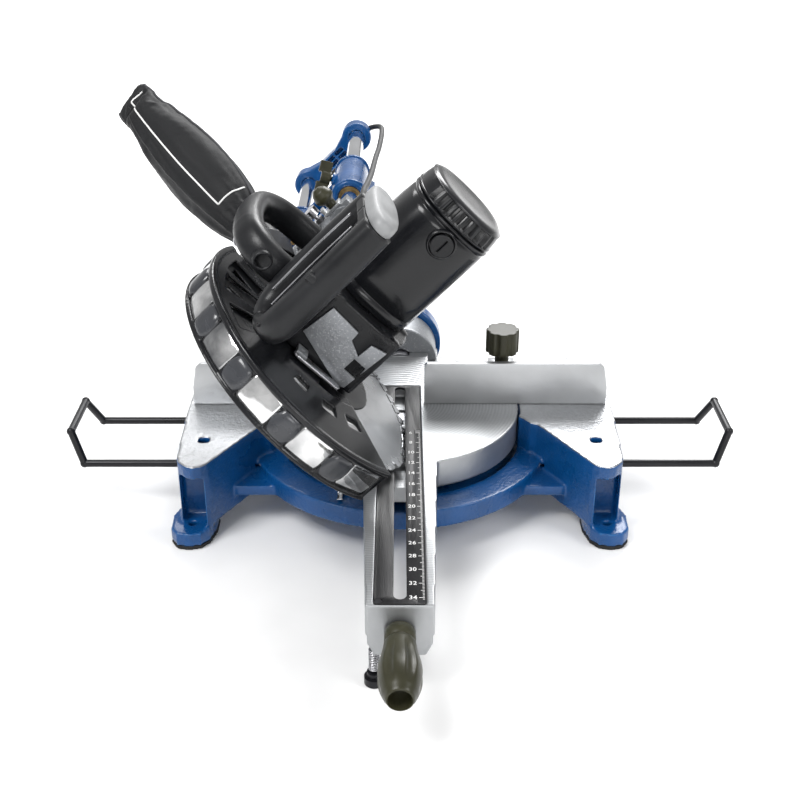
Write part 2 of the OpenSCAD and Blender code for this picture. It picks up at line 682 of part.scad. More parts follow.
module blade_flanges() color([0.5, 0.5, 0.52]) head() {
    ring_x(-6.5, -1, arbor_y, arbor_h, 24, 5.1);
    ring_x(1, 7, arbor_y, arbor_h, 24, 8.05);
    ring_x(-0.9, 0.9, arbor_y, arbor_h, arbor_d / 2 - 0.05, 8.05);
}

module arbor_bolt() color([0.4, 0.4, 0.42]) head() difference() {
    union() {
        rod_x(-8, -1.6, arbor_y, arbor_h, 5);
        rod_x(-14, -6.6, arbor_y, arbor_h, 9);
    }
    translate([-12, arbor_y, arbor_h]) rotate([0, 90, 0]) cylinder(h = 6, r = 4, $fn = 6, center = true);
}

module guard_bracket() color([0.55, 0.56, 0.58]) head() {
    along_y(-122.4, -120) difference() {
        polygon([[36, 164], [73, 160], [71, 126], [61, 125], [53, 109], [70, 108], [74, 92],
            [20, 96], [17, 102]]);
        polygon([[34, 110], [49, 110], [49, 95], [34, 94]]);
    }
    // Lug and pin of the guard link
    difference() {
        block(20.6, 24, -137, -121, 146, 158);
        rod_x(20, 25, -131, 152, 1.2);
    }
    rod_x(16.6, 22, -131, 152, 2.45);
}

module guard_link() color([0.75, 0.76, 0.77]) head() difference() {
    along_x(17.2, 20.2) union() {
        translate([-131, 152]) circle(6);
        translate([-130, 106]) circle(5);
        polygon([[-137, 152], [-135, 106], [-125, 106], [-125, 152]]);
    }
    rod_x(15, 22, -131, 152, 2.5);
}

// D handle: a loop around the finger gap, level with the arbor
module handle_frame() head() translate([0, -171, 205.5]) rotate([5, 0, 0]) children();

function round_box(x0, x1, y0, y1, r) = [for (c = [[x1 - r, y1 - r, 0], [x0 + r, y1 - r, 90],
    [x0 + r, y0 + r, 180], [x1 - r, y0 + r, 270]]) for (i = [0 : 4])
    [c[0] + r * cos(c[2] + i * 22.5), c[1] + r * sin(c[2] + i * 22.5)]];

module handle_ring(y0, y1, t) up(-t, t) difference() {
    intersection() {
        polygon(round_box(30, 177.6, -43, 43, 16));
        translate([0, y0]) square([200, y1 - y0]);
    }
    polygon(round_box(64, 166, -14, 14, 10));
}

module handle_body() color([0.1, 0.1, 0.105]) handle_frame() difference() {
    union() {
        handle_ring(-43, -0.2, 14);
        block(150, 177.6, -30, -0.2, -14, 14);
    }
    // Chamber for the trigger switch
    block(84, 136, -31, -10, -8, 8);
    translate([44, -28, -20]) cylinder(h = 60, r = 2.2);
    translate([44, -28, 10]) cylinder(h = 6, r = 4.2);
    translate([166, -20, -20]) cylinder(h = 60, r = 2.2);
    translate([110, -37, 1]) cylinder(h = 20, r = 5.05);
}

module handle_grip() color([0.08, 0.08, 0.085]) handle_frame() difference() {
    handle_ring(0.2, 43, 14);
    translate([44, 30, -20]) cylinder(h = 60, r = 2.2);
}

module handle_end_cap() color([0.6, 0.61, 0.62]) handle_frame() {
    translate([178, 0, 0]) rotate([90, 0, 90]) linear_extrude(12)
        polygon(round_box(-43, 43, -15, 15, 13));
}

module trigger() color([0.16, 0.16, 0.16]) handle_frame() {
    block(88, 132, -24, -9.5, -7, 7);
    up(-7, 7) polygon([[90, -10], [130, -10], [126, -4], [110, -1], [94, -4]]);
}

module lock_off_button() color([0.2, 0.2, 0.2]) handle_frame()
    translate([110, -37, 6]) cylinder(h = 11.5, r = 5);

module carry_handle() color([0.07, 0.07, 0.075]) head() difference() {
    along_x(49, 81) difference() {
        polygon([[-125.5, 178.2], [-125.5, 224], [-132, 240], [-122, 258], [-100, 272],
            [-60, 277], [-20, 270], [8, 252], [22, 226], [26, 178.2]]);
        polygon([[-106, 170], [-107, 210], [-110, 234], [-98, 248], [-76, 254], [-44, 255],
            [-20, 248], [-4, 232], [2, 208], [2, 170]]);
    }
    for (y = [-117, 14]) translate([65, y, 170]) cylinder(h = 20, r = 2.5);
    translate([65, -140, 244]) rotate([-90, 0, 0]) cylinder(h = 14, r = 6);
}

// Direction of the dust spout, measured from the rear upwards
spout_a = 52.7;
spout_x = 12;
spout_y = 58;
spout_z = 214;

module dust_port() color([0.07, 0.07, 0.075]) head() difference() {
    union() {
        along_x(-18, 33) polygon([[33.5, 184], [40, 188], [spout_y + 19, spout_z - 12],
            [spout_y - 14, spout_z + 14], [-1, 230], [-5, 226]]);
        translate([spout_x, spout_y, spout_z]) rotate([spout_a - 90, 0, 0]) cylinder(h = 26, r = 20);
    }
    along_x(-15, 30) polygon([[26, 180], [36, 188], [spout_y + 13, spout_z - 8],
        [spout_y - 11, spout_z + 11], [0, 224], [-10, 222]]);
    translate([spout_x, spout_y, spout_z]) rotate([spout_a - 90, 0, 0]) cylinder(h = 30, r = 17);
    along_x(-30, 40) arbor_disc(137.3);
}

// Bag, as a soft closed shape on the spout
module dust_bag() color([0.06, 0.06, 0.065]) head()
    translate([spout_x, spout_y, spout_z]) rotate([spout_a - 90, 0, 0]) rotate([0, -6.7, 0])
        difference() {
            hull() {
                translate([0, 0, 12]) cylinder(h = 20, r = 23, $fn = 32);
                translate([0, 0, 90]) cylinder(h = 90, r = 39, $fn = 32);
                translate([-26, -8, 244]) cube([52, 16, 8]);
            }
            rotate([0, 6.7, 0]) cylinder(h = 32, r = 20.2);
        }

// ---------------------------------------------------------------- lead

// Route of the lead from the motor's gland to its winding, in the head's frame
gland_dir = [0, sin(gland_a), cos(gland_a)];
gland_end = [118, motor_y, motor_z] + gland_r * gland_dir;
lead_points = [
    gland_end, [118, 18, 155], [118, 36, 163], [118, 60, 169.5], [117, 90, 172],
    [115, 120, 169.5], [113.5, 150, 165], [112.5, 200, 159.5], [111.5, 250, 155.5],
    [111, 290, 152.5], [110.5, 340, 148], [110.5, 375, 146], [111, 405, 145],
    [111.5, 425, 145.2], [111.5, 437, 145.8], [110.4, 445, 146.6], [107.3, 452.5, 148],
    [102.4, 459, 150], [96, 463.8, 152.4], [88.5, 467, 155.2], [80.5, 468, 158],
    [70, 467.8, 160.6], [59, 467.3, 162], [48, 467.1, 162.1]];

function unit(v) = v / norm(v);
function tangent(p, i) = unit(p[min(i + 1, len(p) - 1)] - p[max(i - 1, 0)]);
function side_of(t) = unit(cross(t, [0.2, 0.1, 1]));
function ring_at(c, t, r, n) = [for (k = [0 : n - 1])
    c + r * cos(360 * k / n) * side_of(t) + r * sin(360 * k / n) * cross(t, side_of(t))];

// A tube swept along points
module tube(p, r, n) {
    m = len(p);
    polyhedron(
        points = [for (i = [0 : m - 1]) each ring_at(p[i], tangent(p, i), r, n)],
        faces = concat(
            [[for (k = [0 : n - 1]) k]],
            [[for (k = [n - 1 : -1 : 0]) (m - 1) * n + k]],
            [for (i = [0 : m - 2]) for (k = [0 : n - 1])
                [i * n + k, (i + 1) * n + k, (i + 1) * n + (k + 1) % n, i * n + (k + 1) % n]]));
}

module power_lead() color([0.12, 0.12, 0.12]) head() tube(lead_points, lead_d / 2, 10);

// Flat hank of four turns, its folds three lead diameters in radius
winding_y = bracket_y + 22.6;
fold_in = 3 * lead_d;
fold_out = 4 * lead_d;
winding_x0 = -16;
winding_x1 = 50;
winding_droop = 20.3;

module winding_frame_flat() translate([0, winding_y, rail_h]) rotate([-winding_droop, 0, 0])
    translate([0, fold_out + lead_d / 2, 0]) children();

module winding_frame() head() winding_frame_flat() children();

module stadium(r) {
    translate([winding_x0, -r]) square([winding_x1 - winding_x0, 2 * r]);
    for (x = [winding_x0, winding_x1]) translate([x, 0]) circle(r);
}

module lead_winding() color([0.12, 0.12, 0.12]) winding_frame() up(-lead_d, lead_d) difference() {
    stadium(fold_out + lead_d / 2);
    stadium(fold_in - lead_d / 2);
}

module plug() color([0.1, 0.1, 0.1]) winding_frame()
    translate([winding_x0 - fold_out, 0, 0]) rotate([-90, 0, 0]) {
        translate([0, 0, 1]) cylinder(h = 34, r1 = 4.5, r2 = 7);
        translate([0, 0, 34]) cylinder(h = 32, r = 17);
        for (x = [-9.5, 9.5]) translate([x, 0, 65]) cylinder(h = 19, r = 2.4);
    }

base_casting();
rubber_feet();
fence_left();
fence_right();
fence_bolts();
fence_knob();
extension_bar_left();
extension_bar_right();
bar_screw_left();
bar_screw_right();
turntable();
pivot_bolt();
kerf_insert();
insert_screws();
mitre_pointer();
mitre_lock_handle();
mitre_lock_rod();
support_foot();
bevel_housing();
bevel_shaft();
bevel_lock_lever();
bevel_arm();
rail_bushings();
rail_lock_knob();
slide_rails();
rear_bracket();
carriage();
chop_pin();
depth_stop_screw();
depth_stop_plate();
stop_clamp_knob();
return_spring();
gear_case();
upper_guard();
motor_housing();
motor_end_cap();
brush_caps();
carbon_brushes();
stator();
ball_bearings();
armature();
guard_bracket();
guard_link();
handle_body();
handle_grip();
handle_end_cap();
trigger();
lock_off_button();
carry_handle();
dust_port();
dust_bag();
spindle();
blade();
blade_flanges();
arbor_bolt();
lower_guard();
guard_windows();
power_lead();
lead_winding();
plug();
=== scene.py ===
import bpy, bmesh, json, math
from mathutils import Matrix, Vector, noise
from mathutils.bvhtree import BVHTree

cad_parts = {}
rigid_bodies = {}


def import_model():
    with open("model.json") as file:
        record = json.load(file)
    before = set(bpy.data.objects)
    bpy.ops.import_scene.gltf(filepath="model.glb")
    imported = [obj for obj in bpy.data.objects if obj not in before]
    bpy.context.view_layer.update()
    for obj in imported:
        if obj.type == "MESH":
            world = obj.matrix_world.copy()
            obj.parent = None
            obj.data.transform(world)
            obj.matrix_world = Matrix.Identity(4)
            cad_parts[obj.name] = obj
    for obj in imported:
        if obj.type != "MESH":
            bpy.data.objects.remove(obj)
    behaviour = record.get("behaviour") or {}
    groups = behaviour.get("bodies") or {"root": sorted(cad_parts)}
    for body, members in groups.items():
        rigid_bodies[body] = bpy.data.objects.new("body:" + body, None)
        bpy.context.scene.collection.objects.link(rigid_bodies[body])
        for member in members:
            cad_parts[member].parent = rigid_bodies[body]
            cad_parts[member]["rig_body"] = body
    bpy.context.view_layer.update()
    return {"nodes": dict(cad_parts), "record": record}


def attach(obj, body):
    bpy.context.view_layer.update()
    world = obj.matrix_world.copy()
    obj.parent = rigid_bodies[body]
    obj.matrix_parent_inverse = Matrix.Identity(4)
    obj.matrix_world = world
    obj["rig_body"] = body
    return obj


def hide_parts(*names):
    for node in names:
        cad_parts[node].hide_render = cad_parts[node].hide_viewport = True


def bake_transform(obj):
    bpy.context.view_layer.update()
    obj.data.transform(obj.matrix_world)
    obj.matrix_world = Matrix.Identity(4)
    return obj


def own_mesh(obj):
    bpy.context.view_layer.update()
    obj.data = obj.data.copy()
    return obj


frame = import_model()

NODES = frame["nodes"]

# ------------------------------------------------------------------ camera
cam_data = bpy.data.cameras.new("view")
cam_data.lens = 55.2
cam_data.sensor_width = 36.0
cam_data.clip_end = 50.0
cam = bpy.data.objects.new("view", cam_data)
bpy.context.scene.collection.objects.link(cam)
cam.location = (0.0, -1.168, 0.705)
cam.rotation_euler = (math.radians(62.42), 0.0, 0.0)
bpy.context.scene.camera = cam

# ------------------------------------------------------------- frames, tools
# Head frame in millimetres: X along the arbor, Y to the rear, Z up in the blade's plane
HEAD = Matrix.Translation((0, 0, 0.09)) @ Matrix.Rotation(math.radians(-45), 4, "Y") @ Matrix.Scale(0.001, 4)
MM = Matrix.Scale(0.001, 4)
GRIP = HEAD @ Matrix.Translation((0, -171, 205.5)) @ Matrix.Rotation(math.radians(5), 4, "X")


def obj_from_mesh(name, me, body, mat=None, smooth=True):
    o = bpy.data.objects.new(name, me)
    bpy.context.scene.collection.objects.link(o)
    if mat:
        me.materials.clear()
        me.materials.append(mat)
    for p in me.polygons:
        p.use_smooth = smooth
        p.material_index = 0
    if body:
        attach(o, body)
    return o


def obj_from_bm(name, bm, body, mat=None, matrix=None, smooth=True):
    if matrix is not None:
        bmesh.ops.transform(bm, matrix=matrix, verts=bm.verts)
    bmesh.ops.recalc_face_normals(bm, faces=bm.faces)
    me = bpy.data.meshes.new(name)
    bm.to_mesh(me)
    bm.free()
    return obj_from_mesh(name, me, body, mat, smooth)


def grid(bm, rows, closed_u=False, closed_v=False, cap=False):
    """Faces over rows of points; every row has the same count."""
    vs = [[bm.verts.new(p) for p in row] for row in rows]
    m, n = len(vs), len(vs[0])
    for i in range(m if closed_u else m - 1):
        for j in range(n if closed_v else n - 1):
            a, b = vs[i][j], vs[i][(j + 1) % n]
            c, d = vs[(i + 1) % m][(j + 1) % n], vs[(i + 1) % m][j]
            bm.faces.new((a, b, c, d))
    if cap:
        bm.faces.new(vs[0])
        bm.faces.new(list(reversed(vs[-1])))
    return vs


def lathe(bm, profile, n=48, wave=None, matrix=None):
    """Profile of (radius, height) turned about Z; wave(r, z, angle) may change the radius."""
    rows = []
    for r, z in profile:
        row = []
        for k in range(n):
            a = 2 * math.pi * k / n
            rr = wave(r, z, a) if wave else r
            p = Vector((rr * math.cos(a), rr * math.sin(a), z))
            row.append(matrix @ p if matrix is not None else p)
        rows.append(row)
    grid(bm, rows, closed_v=True, cap=True)


def box_bm(bm, lo, hi, bevel=0.0, matrix=None, seg=2):
    r = bmesh.ops.create_cube(bm, size=1.0)
    lo, hi = Vector(lo), Vector(hi)
    size = hi - lo
    bmesh.ops.scale(bm, vec=size, verts=r["verts"])
    bmesh.ops.translate(bm, vec=(lo + hi) / 2, verts=r["verts"])
    vs = r["verts"]
    if bevel:
        es = list({e for v in vs for e in v.link_edges})
        g = bmesh.ops.bevel(bm, geom=es, offset=bevel, segments=seg, affect="EDGES", profile=0.5)
        vs = list({v for f in g["faces"] for v in f.verts} | {v for v in vs if v.is_valid})
    if matrix is not None:
        bmesh.ops.transform(bm, matrix=matrix, verts=vs)


def screw_bm(bm, matrix, r=3.0, h=1.6, hexagon=False):
    """A round screw head with a domed rim and a driven recess, base at z = 0."""
    n = 28
    prof = [(r, 0.0), (r, h * 0.55), (r * 0.93, h * 0.85), (r * 0.8, h)]
    rows = [[Vector((q * math.cos(2 * math.pi * k / n), q * math.sin(2 * math.pi * k / n), z))
             for k in range(n)]
            for q, z in prof]
    inner, deep = [], []
    for k in range(n):
        a = 2 * math.pi * k / n
        q = r * 0.46 / (math.cos((a % (math.pi / 3)) - math.pi / 6)) * 0.9 if hexagon else \
            r * (0.2 + 0.42 * abs(math.cos(2 * a)) ** 3)
        inner.append(Vector((q * math.cos(a), q * math.sin(a), h)))
        deep.append(Vector((q * 0.85 * math.cos(a), q * 0.85 * math.sin(a), h * 0.25)))
    rows += [inner, deep]
    vs = [[bm.verts.new(matrix @ p) for p in row] for row in rows]
    for i in range(len(vs) - 1):
        for j in range(n):
            bm.faces.new((vs[i][j], vs[i][(j + 1) % n], vs[i + 1][(j + 1) % n], vs[i + 1][j]))
    bm.faces.new(vs[0])
    bm.faces.new(vs[-1])


def bake(o):
    """Apply the object's modifiers to its mesh."""
    dg = bpy.context.evaluated_depsgraph_get()
    dg.update()
    me = bpy.data.meshes.new_from_object(o.evaluated_get(dg))
    old = o.data
    o.modifiers.clear()
    o.data = me
    bpy.data.meshes.remove(old)
    return me


def soften(node, name, mat, voxel, rounds, extra=None, body=None, flat=0.5, nodes=None):
    """A copy of a CAD node with its edges rounded as a casting's or a moulding's are."""
    bm = bmesh.new()
    bm.from_mesh(NODES[node].data)
    for n in nodes or ():
        bm.from_mesh(NODES[n].data)
    bmesh.ops.remove_doubles(bm, verts=bm.verts, dist=1e-6)
    me = bpy.data.meshes.new(name)
    bm.to_mesh(me)
    bm.free()
    if extra:
        ebm = bmesh.new()
        ebm.from_mesh(me)
        extra(ebm)
        bmesh.ops.recalc_face_normals(ebm, faces=ebm.faces)
        ebm.to_mesh(me)
        ebm.free()
    o = bpy.data.objects.new(name, me)
    bpy.context.scene.collection.objects.link(o)
    m = o.modifiers.new("r", "REMESH")
    m.mode = "VOXEL"
    m.voxel_size = voxel * 0.001
    m.adaptivity = 0.0
    s = o.modifiers.new("s", "SMOOTH")
    s.factor = flat
    s.iterations = rounds
    bake(o)
    o.data.materials.clear()
    o.data.materials.append(mat)
    for p in o.data.polygons:
        p.use_smooth = True
    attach(o, body or NODES[node]["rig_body"])
    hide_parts(node, *(nodes or ()))
    return o


def edged(node, name, mat, width, seg=2):
    """A copy of a CAD node with its sharp edges broken, as a machined part's are."""
    bm = bmesh.new()
    bm.from_mesh(NODES[node].data)
    bmesh.ops.remove_doubles(bm, verts=bm.verts, dist=1e-6)
    bmesh.ops.dissolve_limit(bm, angle_limit=math.radians(0.6), verts=bm.verts, edges=bm.edges)
    me = bpy.data.meshes.new(name)
    bm.to_mesh(me)
    bm.free()
    o = bpy.data.objects.new(name, me)
    bpy.context.scene.collection.objects.link(o)
    b = o.modifiers.new("b", "BEVEL")
    b.width = width * 0.001
    b.segments = seg
    b.limit_method = "ANGLE"
    b.angle_limit = math.radians(35)
    b.use_clamp_overlap = True
    t = o.modifiers.new("t", "TRIANGULATE")
    bake(o)
    me = o.data
    me.materials.clear()
    me.materials.append(mat)
    me.shade_smooth() if hasattr(me, "shade_smooth") else None
    for p in me.polygons:
        p.use_smooth = True
    me.set_sharp_from_angle(angle=math.radians(32))
    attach(o, NODES[node]["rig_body"])
    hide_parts(node)
    return o


# ------------------------------------------------------------- materials
def material(name, color, rough, metal=0.0, grain=(400, 0.15, 0.0002), tone=0.12, tone_scale=25,
             rough_vary=0.08, coat=0.0, sheen=0.0, stretch=None, edge_wear_and_highlight=None, rings=None, spec=0.5,
             second=None, speck=None, top=None, weave=False, alpha=1.0, transmission=0.0, aniso=0.0):
    m = bpy.data.materials.new(name)
    m.use_nodes = True
    nt = m.node_tree
    N, L = nt.nodes, nt.links
    N.clear()
    out = N.new("ShaderNodeOutputMaterial")
    sh = N.new("ShaderNodeBsdfPrincipled")
    L.new(sh.outputs[0], out.inputs[0])
    sh.inputs["Metallic"].default_value = metal
    sh.inputs["Specular IOR Level"].default_value = spec
    sh.inputs["Coat Weight"].default_value = coat
    sh.inputs["Coat Roughness"].default_value = 0.12
    sh.inputs["Sheen Weight"].default_value = sheen
    sh.inputs["Sheen Roughness"].default_value = 0.4
    sh.inputs["Alpha"].default_value = alpha
    sh.inputs["Transmission Weight"].default_value = transmission
    sh.inputs["Anisotropic"].default_value = aniso
    tc = N.new("ShaderNodeTexCoord")

    def noise_node(scale, detail=4.0, vec=None):
        n = N.new("ShaderNodeTexNoise")
        n.inputs["Scale"].default_value = scale
        n.inputs["Detail"].default_value = detail
        L.new(vec or tc.outputs["Object"], n.inputs["Vector"])
        return n

    def mix(fac, a, b):
        x = N.new("ShaderNodeMix")
        x.data_type = "RGBA"
        L.new(fac, x.inputs["Factor"])
        for s, v in ((x.inputs[6], a), (x.inputs[7], b)):
            if isinstance(v, bpy.types.NodeSocket):
                L.new(v, s)
            else:
                s.default_value = (*v, 1.0)
        return x.outputs[2]

    def ramp(src, lo, hi, a=0.0, b=1.0):
        x = N.new("ShaderNodeMapRange")
        x.inputs["From Min"].default_value = lo
        x.inputs["From Max"].default_value = hi
        x.inputs["To Min"].default_value = a
        x.inputs["To Max"].default_value = b
        L.new(src, x.inputs["Value"])
        return x.outputs[0]

    big = noise_node(tone_scale)
    dark = [c * (1 - tone) for c in color]
    light = [min(1.0, c * (1 + tone) + 0.01 * tone) for c in (second or color)]
    col = mix(ramp(big.outputs[0], 0.32, 0.68), dark, light)
    vec = tc.outputs["Object"]
    if stretch:
        mp = N.new("ShaderNodeMapping")
        mp.inputs["Scale"].default_value = stretch
        L.new(tc.outputs["Object"], mp.inputs["Vector"])
        vec = mp.outputs[0]
    if speck:
        sp = noise_node(speck[0], 2.0)
        col = mix(ramp(sp.outputs[0], 0.60, 0.68), col, speck[1])
    height = None
    fine = noise_node(grain[0], 3.0, vec)
    height = fine.outputs[0]
    if rings:
        w = N.new("ShaderNodeTexWave")
        w.wave_type = "RINGS"
        w.rings_direction = rings[0]
        w.inputs["Scale"].default_value = rings[1]
        w.inputs["Distortion"].default_value = 1.2
        w.inputs["Detail"].default_value = 3.0
        L.new(tc.outputs["Object"], w.inputs["Vector"])
        add = N.new("ShaderNodeMath")
        add.operation = "ADD"
        L.new(w.outputs[1], add.inputs[0])
        L.new(fine.outputs[0], add.inputs[1])
        height = add.outputs[0]
        col = mix(ramp(w.outputs[1], 0.1, 0.9), col, [c * 0.86 for c in color])
    if weave:
        ws = []
        for d in ("X", "Y"):
            w = N.new("ShaderNodeTexWave")
            w.wave_type = "BANDS"
            w.bands_direction = d
            w.inputs["Scale"].default_value = 320
            w.inputs["Distortion"].default_value = 0.5
            L.new(tc.outputs["Object"], w.inputs["Vector"])
            ws.append(w.outputs[1])
        mx = N.new("ShaderNodeMath")
        mx.operation = "MAXIMUM"
        L.new(ws[0], mx.inputs[0])
        L.new(ws[1], mx.inputs[1])
        height = mx.outputs[0]
        col = mix(ramp(mx.outputs[0], 0.3, 1.0), [c * 0.55 for c in color], col)
    # Lighter colour of the same hue on convex edges (pointiness), broken up by noise: partly rubbed edges, partly a
    # painted highlight where the edges catch the light
    if edge_wear_and_highlight:
        g = N.new("ShaderNodeNewGeometry")
        edge = ramp(g.outputs["Pointiness"], edge_wear_and_highlight[1], edge_wear_and_highlight[2])
        brk = noise_node(90, 5.0)
        mul = N.new("ShaderNodeMath")
        mul.operation = "MULTIPLY"
        L.new(edge, mul.inputs[0])
        L.new(ramp(brk.outputs[0], 0.35, 0.62), mul.inputs[1])
        col = mix(mul.outputs[0], col, edge_wear_and_highlight[0])
    rg = ramp(big.outputs[0], 0.3, 0.7, max(0.02, rough - rough_vary), min(1.0, rough + rough_vary))
    mt = None
    if top:
        # Bare machined faces above a height, with the paint below them
        sx = N.new("ShaderNodeSeparateXYZ")
        L.new(tc.outputs["Object"], sx.inputs[0])
        msk = ramp(sx.outputs[2], top[0] - 0.0003, top[0] + 0.0001)
        metal_tone = mix(ramp(fine.outputs[0], 0.3, 0.7), [c * 0.88 for c in top[1]], top[1])
        col = mix(msk, col, metal_tone)
        L.new(msk, sh.inputs["Metallic"])
        rr = N.new("ShaderNodeMix")
        L.new(msk, rr.inputs["Factor"])
        L.new(rg, rr.inputs[2])
        rr.inputs[3].default_value = top[2]
        rg = rr.outputs[0]
    L.new(col, sh.inputs["Base Color"])
    L.new(rg, sh.inputs["Roughness"])
    bp = N.new("ShaderNodeBump")
    bp.inputs["Strength"].default_value = grain[1]
    bp.inputs["Distance"].default_value = grain[2]
    L.new(height, bp.inputs["Height"])
    L.new(bp.outputs[0], sh.inputs["Normal"])
    return m


M = {
    "blue": material("blue_cast", (0.001, 0.056, 0.195), 0.30, grain=(240, 0.6, 0.0012), tone=0.16, coat=0.25,
                     spec=0.35, edge_wear_and_highlight=((0.02, 0.16, 0.40), 0.53, 0.60), top=(0.0893, (0.46, 0.47, 0.485), 0.38)),
    "blue2": material("blue_arm", (0.001, 0.056, 0.195), 0.28, grain=(240, 0.45, 0.0009), tone=0.16, coat=0.25,
                      spec=0.35, edge_wear_and_highlight=((0.02, 0.16, 0.40), 0.53, 0.60)),
    "table": material("silver_cast", (0.40, 0.41, 0.42), 0.38, 0.8, grain=(220, 0.3, 0.0004), tone=0.09,
                      rings=("Z", 90), rough_vary=0.06),
    "fence": material("fence_face", (0.48, 0.49, 0.50), 0.38, 0.8, grain=(120, 0.2, 0.0003), tone=0.08,
                      stretch=(0.15, 6.0, 6.0), rough_vary=0.07),
    "grey": material("grey_cast", (0.26, 0.27, 0.285), 0.42, 0.6, grain=(330, 0.5, 0.0007), tone=0.15,
                     speck=(500, (0.42, 0.43, 0.45))),
    "steel": material("steel", (0.50, 0.50, 0.52), 0.28, 1.0, grain=(500, 0.1, 0.0001), tone=0.08),
    "chrome": material("chrome_tube", (0.80, 0.81, 0.83), 0.10, 1.0, grain=(60, 0.03, 0.0001), tone=0.03,
                       rough_vary=0.04),
    "dark": material("dark_steel", (0.012, 0.012, 0.014), 0.32, 0.4, spec=0.4, grain=(600, 0.15, 0.0002),
                     tone=0.15),
    "black": material("black_paint", (0.008, 0.0085, 0.010), 0.30, grain=(520, 0.35, 0.0003), tone=0.2,
                      spec=0.3, edge_wear_and_highlight=((0.035, 0.036, 0.04), 0.54, 0.62)),
    "plastic": material("black_plastic", (0.009, 0.0095, 0.011), 0.36, grain=(900, 0.45, 0.0002), tone=0.2,
                        spec=0.32, edge_wear_and_highlight=((0.03, 0.031, 0.034), 0.54, 0.62)),
    "gloss": material("gloss_black", (0.006, 0.0065, 0.008), 0.22, grain=(300, 0.05, 0.0002), tone=0.2,
                      coat=0.12, spec=0.35, rough_vary=0.05),
    "olive": material("olive_plastic", (0.030, 0.029, 0.014), 0.36, grain=(850, 0.4, 0.0002), tone=0.2,
                      spec=0.35, edge_wear_and_highlight=((0.07, 0.07, 0.04), 0.54, 0.62)),
    "lgrey": material("grey_plastic", (0.27, 0.275, 0.28), 0.48, grain=(300, 0.4, 0.0003), tone=0.14,
                      tone_scale=60, stretch=(6, 1, 1)),
    # Clear plastic: noise mixes a dark pane colour with a near-white second tone; the near-white patches are painted
    # reflections
    "window": material("clear_plastic", (0.20, 0.21, 0.225), 0.07, 0.9, grain=(14, 0.5, 0.012), tone=0.4,
                       tone_scale=20, alpha=0.95, second=(0.72, 0.74, 0.76), rough_vary=0.03),
    "insert": material("kerf_insert_black", (0.013, 0.013, 0.014), 0.38, 0.2, grain=(250, 0.45, 0.0004),
                       tone=0.2, spec=0.35, stretch=(6, 0.4, 1)),
    "pad": material("guard_pad", (0.030, 0.032, 0.037), 0.24, grain=(500, 0.3, 0.0002), tone=0.25, coat=0.2,
                    rough_vary=0.06),
    "rubber": material("rubber", (0.012, 0.012, 0.012), 0.7, spec=0.3, grain=(700, 0.5, 0.0003), tone=0.2),
    "bag": material("bag_fabric", (0.007, 0.0075, 0.009), 0.62, grain=(1, 0.35, 0.0003), tone=0.2,
                    sheen=0.06, spec=0.3, weave=True),
    "bronze": material("bronze", (0.40, 0.27, 0.12), 0.35, 1.0, grain=(500, 0.2, 0.0002)),
    "copper": material("copper", (0.45, 0.22, 0.11), 0.4, 0.9, grain=(500, 0.2, 0.0002)),
    "carbon": material("carbon", (0.05, 0.05, 0.05), 0.6, grain=(500, 0.3, 0.0002)),
    "blade": material("blade_steel", (0.62, 0.63, 0.645), 0.24, 1.0, grain=(300, 0.1, 0.0002), tone=0.06,
                      stretch=(1, 1, 1)),
    "lead": material("lead_sheath", (0.016, 0.016, 0.017), 0.5, grain=(600, 0.25, 0.0002), tone=0.15),
    "white": material("white_print", (0.80, 0.80, 0.79), 0.6, grain=(600, 0.3, 0.0001), tone=0.05),
    "thread": material("thread", (0.05, 0.05, 0.055), 0.8, grain=(900, 0.5, 0.0003), tone=0.3),
}
SLOT_MAT = dict(blue_cast="blue2", silver_cast="table", fence_alu="fence", grey_cast="grey", steel="steel",
                chrome="chrome", dark_steel="dark", black_paint="black", black_plastic="plastic",
                gloss_black="gloss", olive_plastic="olive", grey_plastic="lgrey", clear_plastic="window",
                rubber="rubber", bag_fabric="bag", bronze="bronze", copper="copper", carbon="carbon",
                blade_steel="blade", lead_pvc="lead")
for sp in frame["record"]["subparts"]:
    o = NODES[sp["node"]]
    o.data.materials.clear()
    o.data.materials.append(M[SLOT_MAT[sp["material_slot"]]])
    for p in o.data.polygons:
        p.material_index = 0

# ------------------------------------------------------------------ lead
GA = math.radians(70)
LEAD = [(118, -55 + 62 * math.sin(GA), 128 + 62 * math.cos(GA)), (118, 18, 155), (118, 36, 163), (118, 60, 169.5),
        (117, 90, 172), (115, 120, 169.5), (113.5, 150, 165), (112.5, 200, 159.5), (111.5, 250, 155.5),
        (111, 290, 152.5), (110.5, 340, 148), (110.5, 375, 146), (111, 405, 145), (111.5, 425, 145.2),
        (111.5, 437, 145.8), (110.4, 445, 146.6), (107.3, 452.5, 148), (102.4, 459, 150), (96, 463.8, 152.4),
        (88.5, 467, 155.2), (80.5, 468, 158), (70, 467.8, 160.6), (59, 467.3, 162), (48, 467.1, 162.1)]
HANK = HEAD @ Matrix.Translation((0, 462.6, 160)) @ Matrix.Rotation(math.radians(-20.3), 4, "X") \
    @ Matrix.Translation((0, 31.5, 0))
WX0, WX1 = -16.0, 50.0


